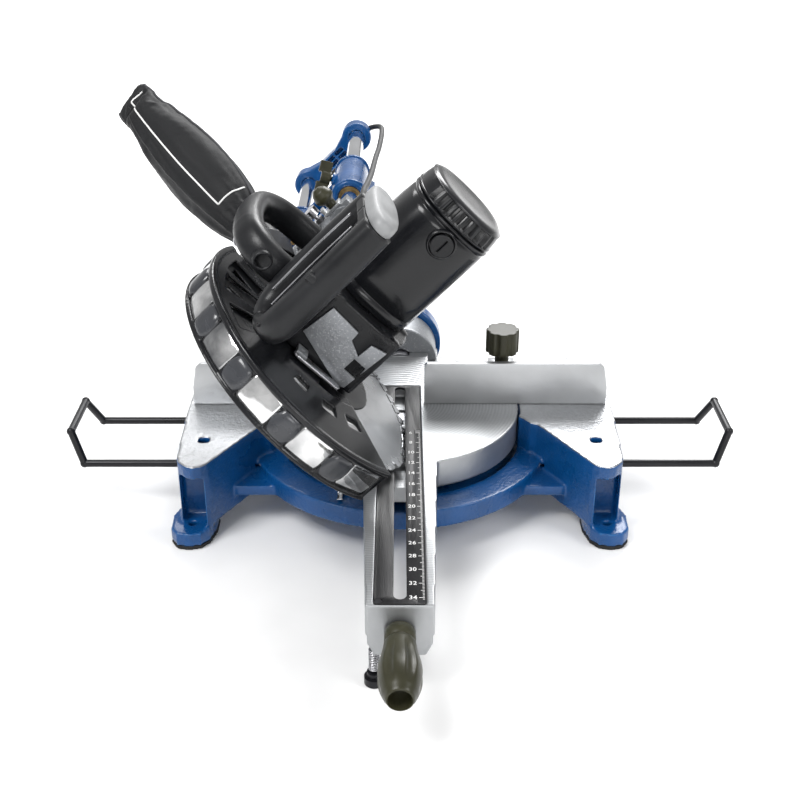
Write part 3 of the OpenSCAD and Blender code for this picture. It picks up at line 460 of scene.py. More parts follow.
def hank_points():
    """Four turns: outer and inner lane of the top layer, then inner and outer of the bottom one."""
    pts = []
    lanes = [(28, 3.5), (21, 3.5), (21, -3.5), (28, -3.5)]
    prev = lanes[0]
    for t in range(4):
        r, z = lanes[t]
        nr, nz = lanes[t + 1] if t < 3 else lanes[t]
        if t == 0:
            xs = [34, 22, 9, -4]
        else:
            xs = [46, 33, 20, 8, -4]
        pts += [(x, -r, z) for x in xs]
        n = 8
        if t == 3:
            pts += [(WX0 - r * math.sin(math.pi * k / n), -r * math.cos(math.pi * k / n), z * (1 - k / 5))
                    for k in range(0, 5)]
            break
        pts += [(WX0 - r * math.sin(math.pi * k / n), -r * math.cos(math.pi * k / n), z) for k in range(0, n + 1)]
        pts += [(x, r, z) for x in (-3, 10, 24, 37)]
        for k in range(0, n + 1):
            f = k / n
            f = f * f * (3 - 2 * f)
            q, w = r + (nr - r) * f, z + (nz - z) * f
            pts.append((WX1 + q * math.sin(math.pi * k / n), q * math.cos(math.pi * k / n), w))
    return pts


def smooth_path(pts, step):
    """Catmull-Rom through the points, resampled at an even step."""
    out = []
    p = [Vector(v) for v in pts]
    for i in range(len(p) - 1):
        a, b = p[max(i - 1, 0)], p[i]
        c, d = p[i + 1], p[min(i + 2, len(p) - 1)]
        n = max(2, int((c - b).length / (step * 0.25)))
        for k in range(n):
            t = k / n
            out.append(0.5 * ((2 * b) + (c - a) * t + (2 * a - 5 * b + 4 * c - d) * t * t
                              + (3 * b - a - 3 * c + d) * t ** 3))
    out.append(p[-1])
    total = sum((out[i + 1] - out[i]).length for i in range(len(out) - 1))
    m = max(2, round(total / step))
    res, acc, i = [out[0]], 0.0, 0
    for k in range(1, m):
        want = total * k / m
        while acc + (out[i + 1] - out[i]).length < want:
            acc += (out[i + 1] - out[i]).length
            i += 1
        seg = (out[i + 1] - out[i]).length
        res.append(out[i].lerp(out[i + 1], (want - acc) / seg if seg else 0))
    res.append(out[-1])
    return res, total


def tube_bm(bm, path, radius, n=14, cap=True):
    t0 = (path[1] - path[0]).normalized()
    side = t0.orthogonal().normalized()
    rows = []
    for i, p in enumerate(path):
        t = (path[min(i + 1, len(path) - 1)] - path[max(i - 1, 0)]).normalized()
        side = (side - t * side.dot(t)).normalized()
        up = t.cross(side)
        r = radius(i / (len(path) - 1)) if callable(radius) else radius
        rows.append([p + side * (r * math.cos(2 * math.pi * k / n)) + up * (r * math.sin(2 * math.pi * k / n))
                     for k in range(n)])
    grid(bm, rows, closed_v=True, cap=cap)


route = [HEAD @ Vector(p) for p in LEAD] + [HANK @ Vector(p) for p in hank_points()]
path, lead_len = smooth_path(route, 0.005)
bm = bmesh.new()
tube_bm(bm, path, 0.00345)
lead = obj_from_bm("mains_lead", bm, None, M["lead"])
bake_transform(lead)
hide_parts("power_lead", "lead_winding")

# Ribbed strain relief around the lead where it leaves the motor
bm = bmesh.new()
relief, _ = smooth_path([HEAD @ Vector(p) for p in [(118, -2, 147.3)] + LEAD[0:3]], 0.0011)
relief = relief[:34]
tube_bm(bm, relief, lambda f: (7.4 - 3.1 * f + (0.35 if int(f * 22) % 2 else 0.0)) * 0.001, n=24)
o = obj_from_bm("strain_relief", bm, "head", M["rubber"])

# Plug: moulded round body with ribs and two pins
bm = bmesh.new()
PL = HANK @ Matrix.Translation((WX0 - 28, 0, 0)) @ Matrix.Rotation(math.radians(-90), 4, "X")
prof = [(3.6, 0.6), (4.6, 1)] + [(4.7 + 0.07 * i + (0.4 if i % 2 else 0), 2 + i * 1.35) for i in range(22)] \
    + [(8, 33), (12, 35.5), (15.5, 39), (16.8, 44), (17, 52), (17, 60), (16.4, 64.5), (15, 66)]
lathe(bm, prof, 40, lambda r, z, a: r * (1 - (0.05 * (0.5 + 0.5 * math.cos(10 * a)) if 40 < z < 62 else 0)),
      PL)
plug_o = obj_from_bm("plug_body", bm, "slider", M["rubber"])
bm = bmesh.new()
for x in (-9.5, 9.5):
    lathe(bm, [(2.4, 65.5), (2.4, 82), (2.1, 83.4), (1.2, 84)], 20, None, PL @ Matrix.Translation((x, 0, 0)))
pins = obj_from_bm("plug_pins", bm, "slider", M["steel"])
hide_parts("plug")

# ------------------------------------------------------------ castings
base = soften("base_casting", "base_shell", M["blue"], 2.0, 5, flat=0.5)
# The bores of the extension bars stay open
BORE_YS, BORE_Z, BORE_R, BORE_INNER_X = (-0.054, 0.040), 0.048, 0.0049, 0.055
for v in base.data.vertices:
    if abs(v.co.x) > BORE_INNER_X:
        for y in BORE_YS:
            dy, dz = v.co.y - y, v.co.z - BORE_Z
            d = math.hypot(dy, dz)
            if d < BORE_R:
                v.co.y, v.co.z = y + dy / max(d, 1e-5) * BORE_R, BORE_Z + dz / max(d, 1e-5) * BORE_R
base.data.update()
soften("rubber_feet", "foot_pads", M["rubber"], 1.2, 3)
table = soften("turntable", "table_disc", M["table"], 1.5, 2)
soften("bevel_housing", "bevel_dome", M["grey"], 1.3, 6)


def arm_details(bm):
    """Ribs and bolt bosses of the tilting arm."""
    for x in (-14, 78):
        for y in (191.5, 286.5):
            lathe(bm, [(21.2, 0), (21.2, 5)], 40, None, HEAD @ Matrix.Translation((x, y, 160))
                  @ Matrix.Rotation(math.radians(-90), 4, "X"))
    for y in (212, 232, 252, 270):
        box_bm(bm, (-20, y, 126), (84, y + 5, 131), 0, HEAD)
    for a in (25, 75, 125, 205, 270, 335):
        ca, sa = math.cos(math.radians(a)), math.sin(math.radians(a))
        p = HEAD @ Matrix.Translation((40 * ca, 174, 40 * sa)) @ Matrix.Rotation(math.radians(-90), 4, "X")
        lathe(bm, [(4.2, 0), (4.2, 4.5)], 16, None, p)


soften("bevel_arm", "tilt_casting", M["blue2"], 1.8, 5)
bm = bmesh.new()
arm_details(bm)
o = obj_from_bm("arm_ribs", bm, "tilt_arm", M["blue2"])
m = o.modifiers.new("r", "REMESH")
m.mode = "VOXEL"
m.voxel_size = 0.001
s = o.modifiers.new("s", "SMOOTH")
s.factor, s.iterations = 0.5, 4
bake(o)
for p in o.data.polygons:
    p.use_smooth = True
soften("rear_bracket", "rail_end_bracket", M["blue2"], 1.1, 4)
edged("carriage", "carriage_block", M["grey"], 0.9)
for n, w in (("fence_left", 0.8), ("fence_right", 0.8), ("kerf_insert", 0.4), ("depth_stop_plate", 0.5),
             ("guard_bracket", 0.5), ("guard_link", 0.5), ("mitre_pointer", 0.3)):
    edged(n, n + "_piece", M["insert"] if n == "kerf_insert" else NODES[n].data.materials[0], w)

# Screws in the tilting dome's flange
bm = bmesh.new()
for a in (20, 60, 120, 160):
    q = HEAD @ Matrix.Translation((36 * math.cos(math.radians(a)), 152, 36 * math.sin(math.radians(a)))) \
        @ Matrix.Rotation(math.radians(90), 4, "X")
    screw_bm(bm, q, 3.4, 2.0, True)
o = obj_from_bm("flange_screws", bm, "tilt_arm", M["steel"])

# --------------------------------------------------- ruler
Z0 = 90.05
bm = bmesh.new()
for mm in range(60, 343, 2):
    y = -4.0 - mm
    ln = 7.5 if mm % 20 == 0 else (5.0 if mm % 10 == 0 else 2.6)
    box_bm(bm, (20.6 - ln * 0.62, y - 0.22, Z0 - 0.1), (20.6, y + 0.22, Z0 + 0.16), 0, MM)
ruler = obj_from_bm("ruler_marks", bm, "table", M["white"], smooth=False)
parts = []
for n in range(6, 35, 2):
    c = bpy.data.curves.new("num", "FONT")
    c.body = str(n)
    c.size = 0.0072
    c.extrude = 0.00012
    c.align_x = "CENTER"
    c.align_y = "CENTER"
    c.resolution_u = 3
    t = bpy.data.objects.new("num", c)
    bpy.context.scene.collection.objects.link(t)
    t.location = (0.0108, -0.004 - n * 0.01, (Z0 + 0.08) * 0.001)
    bpy.context.view_layer.update()
    me = bpy.data.meshes.new_from_object(t.evaluated_get(bpy.context.evaluated_depsgraph_get()))
    me.transform(t.matrix_world)
    parts.append(me)
    bpy.data.objects.remove(t)
bm = bmesh.new()
for me in parts:
    bm.from_mesh(me)
    bpy.data.meshes.remove(me)
bmesh.ops.remove_doubles(bm, verts=bm.verts, dist=1e-6)
nums = obj_from_bm("ruler_numbers", bm, "table", M["white"], smooth=False)

# ------------------------------------------------------------ olive grips
bm = bmesh.new()


def flutes(r, z, a):
    f = max(0.0, min(1.0, (z - 20) / 14)) * max(0.0, min(1.0, (74 - z) / 12))
    return r - f * 2.1 * max(0.0, math.cos(6 * a)) ** 0.7 if r > 9.6 else r


prof = [(5.2, 0.2), (12.4, 0.2), (13.2, 1.0), (13.2, 11.5), (12.2, 12.6), (11.9, 14.5)]
for i in range(21):
    t = i / 20
    u = 1 - t
    swell = math.sin(math.pi * max(u, 1e-9) ** 0.62) * (0.55 + 0.45 * math.sin(math.pi * u))
    g = 12.5 + 6.3 * swell + 1.5 * u
    prof.append((g - 0.5, 16 + 63.5 * t))
prof += [(prof[-1][0] - 0.7, 81.6), (prof[-1][0] - 2.2, 82.6), (9.9, 82.4), (9.3, 80.5), (8.9, 62.2),
         (5.2, 62.0)]
lathe(bm, prof, 96, flutes,
      MM @ Matrix.Translation((0, -357.2, 64)) @ Matrix.Rotation(math.radians(90), 4, "X"))
grip = obj_from_bm("mitre_grip", bm, "mitre_lock", M["olive"])
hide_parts("mitre_lock_handle")
for n, v in (("fence_knob", 0.7), ("rail_lock_knob", 0.6), ("stop_clamp_knob", 0.6),
             ("bevel_lock_lever", 0.8)):
    soften(n, n + "_soft", M["olive"], v, 5)
for n, v in (("brush_caps", 0.5), ("arbor_bolt", 0.5), ("trigger", 0.7), ("lock_off_button", 0.4)):
    soften(n, n + "_soft", NODES[n].data.materials[0], v, 3)

# -------------------------------------------------------------- the guards
AY, AZ = -80.0, 116.0


def about(x, r, deg):
    a = math.radians(deg)
    return HEAD @ Vector((x, AY - r * math.cos(a), AZ + r * math.sin(a)))


def guard_pads(bm):
    """Pillow-shaped pads between the windows."""
    spans = [(-20.2, -11.3), (4.8, 13.7), (29.8, 38.7), (54.8, 63.7), (79.8, 88.7), (104.8, 114.6)]
    for a0, a1 in spans:
        rows = []
        mid, half = (a0 + a1) / 2, (a1 - a0) / 2
        for i in range(17):
            u = 2 * i / 16 - 1
            row = []
            for j in range(17):
                v = 2 * j / 16 - 1
                wide = half + 2.1 * (1 - abs(v) ** 2.2) - 0.9
                bulge = 5.6 * (1 - abs(u) ** 3) ** 0.55 * (1 - abs(v) ** 5) ** 0.6
                row.append(about(-5.4 + 15.6 * v, 143.6 + bulge, mid + wide * u))
            for j in range(16, -1, -1):
                v = 2 * j / 16 - 1
                wide = half + 2.1 * (1 - abs(v) ** 2.2) - 0.9
                row.append(about(-5.4 + 15.6 * v, 142.2, mid + wide * u))
            rows.append(row)
        grid(bm, rows, closed_v=True, cap=True)


def guard_beads(bm):
    """Rounded beads along both rims."""
    for x0, x1 in ((-24.3, -21.4), (9.4, 15.6)):
        rows = []
        for i in range(78):
            ang = -37.3 + 152.2 * i / 77
            rows.append([about(x, r, ang) for x, r in ((x0, 141.5), (x0, 146.8), (x0 + 0.8, 147.8), (x1 - 0.8, 147.8),
                                                       (x1, 146.8), (x1, 141.5))])
        grid(bm, rows, closed_v=True, cap=True)


guard = soften("lower_guard", "blade_guard", M["gloss"], 1.05, 4, extra=guard_beads)

bm = bmesh.new()
guard_pads(bm)
o = obj_from_bm("guard_pad_row", bm, "guard", M["pad"])

# Windows: bowed panes across the rim, and small bright plates behind the slots of the right face, painted light where
# the blade shows through
bm = bmesh.new()
# Bright plates just inside the right face behind its slots: painted light standing in for the lit blade seen through
# them
for c0, r0, r1, w in ((-26, 80, 100, 6.4), (-6, 80, 100, 6.4), (16, 80, 100, 6.4)):
    rows = []
    for k in range(9):
        ang = c0 - w + 2 * w * k / 8
        rows.append([about(x, r, ang) for x, r in ((11.2, r0), (11.2, r1), (12.6, r1), (12.6, r0))])
    grid(bm, rows, closed_v=True, cap=True)
for i in range(6):
    c = -28 + i * 25
    rows = []
    for p in range(15):
        u = p / 14
        ang = c - 7.35 + 14.7 * u
        row = []
        for j in range(13):
            v = j / 12
            b = 2.2 * math.sin(math.pi * v) ** 0.6
            row.append(about(-20.8 + 31.0 * v, 143.4 + b, ang))
        for j in range(12, -1, -1):
            v = j / 12
            b = 2.2 * math.sin(math.pi * v) ** 0.6
            row.append(about(-20.8 + 31.0 * v, 142.0 + b, ang))
        rows.append(row)
    grid(bm, rows, closed_v=True, cap=True)
panes_and_slot_light = obj_from_bm("guard_panes_and_slot_light", bm, "guard", M["window"])
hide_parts("guard_windows")

ug = soften("upper_guard", "fixed_guard", M["black"], 1.1, 4)
bm = bmesh.new()
for deg, r in ((62, 128), (88, 130), (118, 128), (150, 100), (178, 112), (128, 60)):
    a = math.radians(deg)
    screw_bm(bm, HEAD @ Matrix.Translation((10, AY - r * math.cos(a), AZ + r * math.sin(a)))
             @ Matrix.Rotation(math.radians(90), 4, "Y"), 3.3, 1.8, True)
o = obj_from_bm("guard_screws", bm, "head", M["dark"])

# ------------------------------------------------------ gear case and motor


def case_details(bm):
    for y, z in ((-112, 90), (-70, 80), (-25, 92), (-14, 122), (-114, 160), (-84, 170)):
        lathe(bm, [(5.5, 0), (5.5, 71)], 20, None, HEAD @ Matrix.Translation((15.5, y, z))
              @ Matrix.Rotation(math.radians(90), 4, "Y"))

soften("gear_case", "gear_housing", M["black"], 1.7, 5, extra=case_details)

MY, MZ = -55.0, 128.0


def motor_ring(x, r, n=64, p=2.7, top=0.0, flat=0.0):
    row = []
    for k in range(n):
        a = 2 * math.pi * k / n
        c, s = math.cos(a), math.sin(a)
        q = (abs(c) ** p + abs(s) ** p) ** (-1 / p) * r
        y, z = q * c, q * s
        if z > 0:
            z += top * (z / r) ** 2
        if y < 0:
            y += flat * (abs(y) / r) ** 3
        row.append(HEAD @ Vector((x, MY + y, MZ + z)))
    return row


bm = bmesh.new()
secs = [(85.4, 44.0, 0), (86.2, 45.6, 0), (92, 46.0, 0), (96, 46.0, 0), (97, 45.0, 0), (98.5, 45.0, 0), (99.5, 46.0, 0),
        (118, 46.0, 1.0), (140, 46.0, 2.0), (160, 46.0, 2.4), (178, 46.0, 2.0), (188, 45.8, 1.2), (193, 45.6, 0.8),
        (194, 44.6, 0.6), (195.6, 44.6, 0.5), (196.6, 46.4, 0.8), (199.2, 46.4, 0.6), (200, 45.4, 0.4)]
grid(bm, [motor_ring(x, r, top=t, flat=1.5) for x, r, t in secs], closed_v=True, cap=True)
shell = obj_from_bm("motor_shell", bm, "head", M["gloss"])
# The hollow where the brush cap sits, and the gland
bm = bmesh.new()
for s in (-1, 1):
    q = HEAD @ Matrix.Translation((182, MY, MZ)) @ Matrix.Rotation(math.radians(90 * s), 4, "X")
    lathe(bm, [(14.5, 36), (14.5, 47.5), (13.6, 48.8), (11.8, 48.8), (11.6, 46), (11.6, 40)], 48, None, q)
q = HEAD @ Matrix.Translation((118, MY, MZ)) @ Matrix.Rotation(-GA, 4, "X")
lathe(bm, [(9.2, 36), (8.6, 52), (7.9, 60), (7.4, 61.8), (3.7, 61.8), (3.7, 58)], 36, None, q)
bosses = obj_from_bm("motor_bosses", bm, "head", M["gloss"])
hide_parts("motor_housing")


# End cap: long cooling slots around the front and the back, between two plain rims
bm = bmesh.new()
rows = []
prof = [(200.6, 41.5), (200.8, 44.2), (201.4, 45.6), (202.0, 46.0)]
prof += [(202.0 + 0.6 * i, 46.0 - 0.012 * i * i / 4) for i in range(1, 29)]
prof += [(219.6, 42.9), (220.6, 41.8), (221.4, 40.2), (221.9, 38.0), (222.0, 34.0), (221.6, 30.0), (221.4, 12.0),
         (221.4, 0.6)]
for x, r in prof:
    row = []
    for k in range(400):
        deg = 360 * k / 400
        rr = r
        u = ((deg + 90) % 180) - 90
        if 204.2 < x < 217.4 and abs(u) < 50 and abs(((u + 50) % 10) - 5) < 2.9:
            rr = r - 4.5
        a = math.radians(deg)
        c, q = math.cos(a), math.sin(a)
        w = (abs(c) ** 2.5 + abs(q) ** 2.5) ** (-1 / 2.5) if r > 30 else 1.0
        row.append(HEAD @ Vector((x, MY - w * rr * c, MZ + w * rr * q + (0.6 if r > 30 else 0))))
    rows.append(row)
grid(bm, rows, closed_v=True, cap=True)
for x, r in ((203.0, 46.2), (218.4, 43.9)):
    ring = []
    for k in range(96):
        a = 2 * math.pi * k / 96
        c, q = math.cos(a), math.sin(a)
        w = (abs(c) ** 2.5 + abs(q) ** 2.5) ** (-1 / 2.5)
        ring.append([HEAD @ Vector((x + dx, MY - w * (r + dr) * c, MZ + w * (r + dr) * q + 0.6))
                     for dx, dr in ((-0.9, -1.5), (-0.8, 0.3), (-0.3, 0.7), (0.3, 0.7), (0.8, 0.3), (0.9, -1.5))])
    grid(bm, ring, closed_u=True, closed_v=True)
cap = obj_from_bm("motor_vent_cap", bm, "head", M["gloss"])
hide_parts("motor_end_cap")

# ---------------------------------------------------------------- handles
def superellipse(a, p):
    """Cosine, sine and radius at angle a of a unit superellipse of power p."""
    ca, sa = math.cos(a), math.sin(a)
    return ca, sa, (abs(ca) ** p + abs(sa) ** p) ** (-1 / p)


def sweep(bm, pts, side, matrix, p=2.5, n=40, step=2.5):
    """Rounded bar along points (x, y, z, half width across, half width along side)."""
    path = smooth_path([q[:3] for q in pts], step)[0]
    side = Vector(side)
    rows = []
    for i, c in enumerate(path):
        near = sorted(range(len(pts)), key=lambda k: (Vector(pts[k][:3]) - c).length)[:2]
        d0, d1 = ((Vector(pts[k][:3]) - c).length for k in near)
        w = d0 / (d0 + d1 + 1e-9)
        ha = pts[near[0]][3] * (1 - w) + pts[near[1]][3] * w
        hb = pts[near[0]][4] * (1 - w) + pts[near[1]][4] * w
        t = (path[min(i + 1, len(path) - 1)] - path[max(i - 1, 0)]).normalized()
        out = t.cross(side).normalized()
        row = []
        for k in range(n):
            ca, sa, q = superellipse(2 * math.pi * k / n, p)
            row.append(matrix @ (c + out * (q * ca * ha) + side * (q * sa * hb)))
        rows.append(row)
    grid(bm, rows, closed_v=True, cap=True)


def handle_bar(name, node, sign, cut):
    """One half of the D handle on side sign, with a trigger pocket where cut is set."""
    bm = bmesh.new()
    sweep(bm, [(37, 0.5 * sign, 0, 8, 12.5), (38.5, 9 * sign, 0, 9.5, 13.5), (45, 21 * sign, 0, 12.5, 14.3),
               (58, 28 * sign, 0, 14, 15), (80, 29.6 * sign, 0, 13.8, 15.2), (110, 30 * sign, 0, 13.6, 15.2),
               (140, 29.4 * sign, 0, 13.6, 15.2), (162, 28.4 * sign, 0, 13.8, 15),
               (177.4, 28 * sign, 0, 13.8, 14.6)], (0, 0, 1), GRIP)
    # Cheek that closes the loop beside the end cap
    sweep(bm, [(171.6, 33 * sign, 0, 6, 14.2), (171.8, 20 * sign, 0, 6, 14.2),
               (171.8, 0.4 * sign, 0, 6, 14.2)], (0, 0, 1), GRIP, p=5)
    if cut:
        lathe(bm, [(6.2, 8), (6.2, 14.6), (5.8, 15.2), (5.2, 15.0), (5.2, 8)], 32, None,
              GRIP @ Matrix.Translation((110, -37, 0)))
    o = obj_from_bm(name, bm, "head", M["plastic"])
    if cut:
        # Pocket that the trigger is pulled into
        bx = bmesh.new()
        box_bm(bx, (85, -32.5, -8.4), (135, 5, 8.4), 0, GRIP)
        b = obj_from_bm("pocket", bx, None)
        md = o.modifiers.new("pocket", "BOOLEAN")
        md.object, md.solver = b, "EXACT"
        bake(o)
        bpy.data.objects.remove(b)
    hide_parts(node)
    return o


handle_bar("handle_front", "handle_body", -1, True)
handle_bar("handle_rear", "handle_grip", 1, False)
bm = bmesh.new()
# Bright steel strips along the inner edges of the handle: painted highlights where these edges catch the light
for side in (-1, 1):
    sweep(bm, [(60, 14.9 * side, 13.2, 0.7, 0.9), (110, 15.4 * side, 14.0, 0.7, 0.9),
               (160, 14.6 * side, 13.2, 0.7, 0.9)], (0, 0, 1), GRIP, n=10)
o = obj_from_bm("handle_edge_highlight_strips", bm, "head", M["steel"])
bm = bmesh.new()
rows = []
for x, k in ((178.1, 0.96), (179, 1.0), (184, 1.0), (187.4, 0.975), (189.4, 0.90), (190.2, 0.78),
             (190.5, 0.4)):
    row = []
    for i in range(64):
        ca, sa, q = superellipse(2 * math.pi * i / 64, 2.5)
        row.append(GRIP @ Vector((x, q * ca * 42.5 * k, q * sa * 15.2 * k)))
    rows.append(row)
grid(bm, rows, closed_v=True, cap=True)
cap = obj_from_bm("handle_cap", bm, "head", M["lgrey"])
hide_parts("handle_end_cap")

bm = bmesh.new()
# Carry handle, its sections as (y, z, half width across, half width along x)
LOOP_X = 65
sweep(bm, [(LOOP_X, *section) for section in (
    (-115.5, 172, 11, 15), (-116.5, 190, 11.2, 15), (-118, 212, 11.5, 15.6), (-120.5, 232, 12.6, 16.2),
    (-113, 249, 13.2, 16.6), (-95, 261.5, 11.6, 16), (-60, 266, 11, 15.6), (-24, 261.5, 11, 15.4),
    (1, 244, 11.5, 15), (11.5, 222, 11.5, 15), (14, 196, 12, 15), (14, 172, 12.5, 15))],
    (1, 0, 0), HEAD, p=2.3)
q = HEAD @ Matrix.Translation((LOOP_X, -121, 242)) @ Matrix.Rotation(math.radians(100), 4, "X")
lathe(bm, [(9.6, 0), (9.4, 13.0), (8.6, 14.2), (7.2, 14.0), (6.6, 12.4), (6.2, 5.5), (0.4, 5.0)], 40, None, q)
top = obj_from_bm("top_handle", bm, "head", M["plastic"])
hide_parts("carry_handle")
bm = bmesh.new()
for x, y in ((44, -28), (166, -20), (44, 30)):
    screw_bm(bm, GRIP @ Matrix.Translation((x, y, 12.2)), 3.6, 1.4)
o = obj_from_bm("handle_screws", bm, "head", M["dark"])
soften("dust_port", "dust_elbow", M["plastic"], 1.3, 6)

# --------------------------------------------------------------- dust bag
BAG = HEAD @ Matrix.Translation((12, 58, 214)) @ Matrix.Rotation(math.radians(52.7 - 90), 4, "X") \
    @ Matrix.Rotation(math.radians(-6.7), 4, "Y")
STATIONS = [(12, 21.5, 21.5), (20, 21.8, 21.8), (30, 23.5, 22.5), (45, 28, 25), (62, 33, 28), (82, 37, 30),
            (104, 39, 31), (128, 39.4, 31), (152, 38.6, 29), (176, 36.5, 26), (198, 33.5, 21), (216, 30.5, 16),
            (232, 27.8, 10.5), (244, 26.2, 6.5), (250, 25.6, 4.2)]


def bag_ring(t, w, d, n=56, shrink=1.0):
    row = []
    for k in range(n):
        a = 2 * math.pi * k / n
        c, s = math.cos(a), math.sin(a)
        e = 2.0 if t < 25 else 2.15
        q = (abs(c) ** e + abs(s) ** e) ** (-1 / e)
        row.append(Vector((w * shrink * q * c, d * shrink * q * s, t)))
    return row


bm = bmesh.new()
rows = []
for i in range(len(STATIONS) - 1):
    (t0, w0, d0), (t1, w1, d1) = STATIONS[i], STATIONS[i + 1]
    for k in range(3):
        f = k / 3
        rows.append(bag_ring(t0 + (t1 - t0) * f, w0 + (w1 - w0) * f, d0 + (d1 - d0) * f, shrink=0.95))
rows.append(bag_ring(*STATIONS[-1], shrink=0.95))
grid(bm, rows, closed_v=True, cap=True)
bag = obj_from_bm("dust_sack", bm, None, M["bag"], BAG)
r = bag.modifiers.new("r", "REMESH")
r.mode = "VOXEL"
r.voxel_size = 0.0045
bake(bag)
inv = BAG.inverted()
start = [v.co.copy() for v in bag.data.vertices]
vg = bag.vertex_groups.new(name="hold")
for v in bag.data.vertices:
    t = (inv @ v.co).z
    if t < 34 or t > 243:
        vg.add([v.index], 1.0, "REPLACE")
cl = bag.modifiers.new("c", "CLOTH")
cs = cl.settings
cs.quality = 6
cs.mass = 0.2
cs.tension_stiffness = cs.compression_stiffness = 18
cs.shear_stiffness = 6
cs.bending_stiffness = 0.4
cs.use_pressure = True
cs.uniform_pressure_force = 3.2
cs.shrink_min = -0.05
cs.vertex_group_mass = "hold"
cs.effector_weights.gravity = 0.0
cl.collision_settings.use_collision = False
cl.point_cache.frame_start, cl.point_cache.frame_end = 1, 20
sc = bpy.context.scene
for f in range(1, 21):
    sc.frame_set(f)
dg = bpy.context.evaluated_depsgraph_get()
ev = [v.co.copy() for v in bag.evaluated_get(dg).data.vertices]
bag.modifiers.clear()
for v, a, b in zip(bag.data.vertices, start, ev):
    d = b - a
    if d.length > 0.005:
        d = d.normalized() * 0.005
    v.co = a + d
sc.frame_set(1)
sd = bag.modifiers.new("s", "SUBSURF")
sd.levels = sd.render_levels = 1
bake(bag)
# Slack folds running from the neck and along the seams
inv = BAG.inverted()
for v in bag.data.vertices:
    p = inv @ v.co
    t = max(0.0, min(1.0, (p.z - 26) / 40)) * max(0.0, min(1.0, (248 - p.z) / 40))
    a = math.atan2(p.y, p.x)
    f = noise.noise(Vector((a * 2.3, p.z * 0.012, 1.7))) * 1.8 \
        + noise.noise(Vector((a * 5.0, p.z * 0.03, 4.2))) * 0.8
    neck = max(0.0, 1 - abs(p.z - 40) / 24) * 0.9 * math.sin(a * 14)
    rad = Vector((p.x, p.y, 0)).normalized() if p.xy.length > 1e-6 else Vector((0, 0, 0))
    v.co = BAG @ (p + rad * (f * t + neck))
bag.data.materials.clear()
bag.data.materials.append(M["bag"])
for p in bag.data.polygons:
    p.use_smooth = True
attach(bag, "head")
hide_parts("dust_bag")
bag.data.update()
bvh = BVHTree.FromPolygons([v.co.copy() for v in bag.data.vertices],
                           [tuple(p.vertices) for p in bag.data.polygons])


def on_bag(t, ang, lift=0.25):
    """The bag's surface at a station and an angle about its axis, a little proud of it."""
    c = BAG @ Vector((0, 0, t))
    d = (BAG.to_3x3() @ Vector((math.cos(ang), math.sin(ang), 0))).normalized()
    hit = bvh.ray_cast(c + d * 0.09, -d, 0.09)
    if hit[0] is None:
        return c + d * 0.02
    return hit[0] + d * lift * 0.001


def ribbon(pts, half, thick=0.35):
    """A narrow strip laid along points on the bag: pts are (t, angle)."""
    rows = []
    for i, (t, a) in enumerate(pts):
        p = on_bag(t, a, 0.0)
        q = on_bag(*pts[min(i + 1, len(pts) - 1)], 0.0)
        b = on_bag(*pts[max(i - 1, 0)], 0.0)
        tan = (q - b).normalized()
        out = (p - (BAG @ Vector((0, 0, t)))).normalized()
        s = tan.cross(out).normalized() * half * 0.001
        up = out * thick * 0.001
        rows.append([p - s - out * 0.0006, p - s + up * 0.7, p + up * 1.2, p + s + up * 0.7,
                     p + s - out * 0.0006])
    return rows


bm = bmesh.new()
for side in (0.0, math.pi):
    pts = [(t, side) for t in range(32, 250, 4)]
    grid(bm, ribbon(pts, 1.7, 1.5), closed_v=True, cap=True)
o = obj_from_bm("bag_seams", bm, "head", M["thread"])

# Crease along the bag as a raised strip of lighter, glossier material, a painted highlight on the fold, then a blank
# outlined panel on the side towards the operator
bm = bmesh.new()
grid(bm, ribbon([(t, math.radians(-122)) for t in range(36, 240, 4)], 0.7, 0.5), closed_v=True, cap=True)
o = obj_from_bm("bag_crease_highlight", bm, "head", M["lead"])
bm = bmesh.new()
A0, A1 = math.radians(-88), math.radians(-14)
T0, T1 = 58, 238
panel_ends = [[(t, A0 + (A1 - A0) * k / 16) for k in range(17)] for t in (T0, T1)]
for pts in panel_ends + [[(T0 + (T1 - T0) * k / 40, A0) for k in range(41)]]:
    grid(bm, ribbon(pts, 0.9, 0.35), closed_v=True, cap=True)
o = obj_from_bm("bag_panel_outline", bm, "head", M["white"])
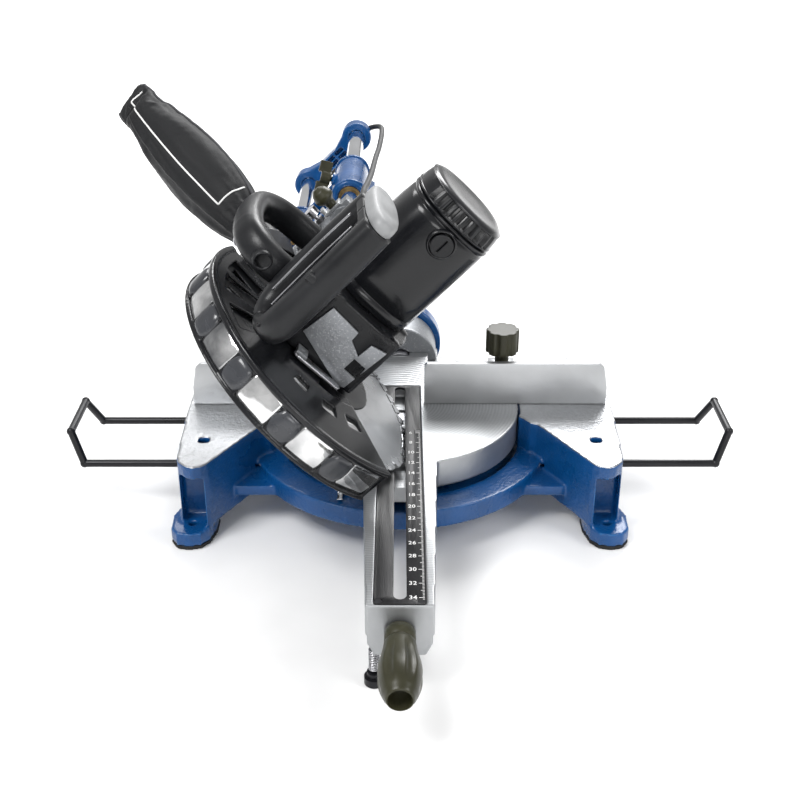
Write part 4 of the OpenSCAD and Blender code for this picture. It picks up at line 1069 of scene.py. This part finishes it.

# Neck clamp: two turns of wire
bm = bmesh.new()
for t in (16, 24):
    pts = []
    for k in range(49):
        a = 2 * math.pi * k / 48
        pts.append(BAG @ Vector((23.2 * math.cos(a), 23.2 * math.sin(a), t + 1.2 * math.sin(a))))
    tube_bm(bm, pts, 0.0011, 10)
o = obj_from_bm("bag_wire", bm, "head", M["steel"])

# ------------------------------------------------------------- small pieces
bm = bmesh.new()
pts = []
for k in range(0, 12 * 16 + 1):
    a = 2 * math.pi * k / 16
    pts.append(MM @ Vector((-22 + 4.4 * math.cos(a), -343 + 4.4 * math.sin(a), 14 + 22 * k / (12 * 16))))
tube_bm(bm, pts, 0.0006, 8)
o = obj_from_bm("foot_spring", bm, "foot", M["steel"])
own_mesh(o)

# ------------------------------------------------------------ floor, lights
bm = bmesh.new()
bmesh.ops.create_grid(bm, x_segments=2, y_segments=2, size=6.0)
floor = obj_from_bm("floor", bm, None, material("floor_white", (0.86, 0.86, 0.86), 0.7, grain=(20, 0.01, 0.0001),
                                               tone=0.01))
floor.location = (0, 0, -0.0005)
world = bpy.data.worlds.new("studio")
bpy.context.scene.world = world
world.use_nodes = True
world.node_tree.nodes["Background"].inputs[0].default_value = (1.0, 1.0, 1.0, 1.0)
world.node_tree.nodes["Background"].inputs[1].default_value = 0.5


def area(name, loc, target, size, power, size_y=None):
    d = bpy.data.lights.new(name, "AREA")
    d.shape = "RECTANGLE"
    d.size = size
    d.size_y = size_y or size
    d.energy = power
    l = bpy.data.objects.new(name, d)
    bpy.context.scene.collection.objects.link(l)
    l.location = loc
    l.rotation_euler = (Vector(target) - Vector(loc)).to_track_quat("-Z", "Y").to_euler()
    return l


area("key", (-1.0, -0.9, 1.9), (0, 0, 0.15), 0.9, 36)
area("fill", (1.5, -0.9, 1.3), (0, 0, 0.15), 0.8, 14)
area("back", (0.5, 1.5, 1.5), (0, 0, 0.2), 1.0, 30)
area("low", (0.2, -1.9, 0.6), (0, -0.2, 0.1), 0.8, 6, 0.4)
area("far", (0, 3.6, 2.6), (0, 4.4, 0), 3.0, 190)
bpy.context.scene.view_settings.view_transform = "Standard"
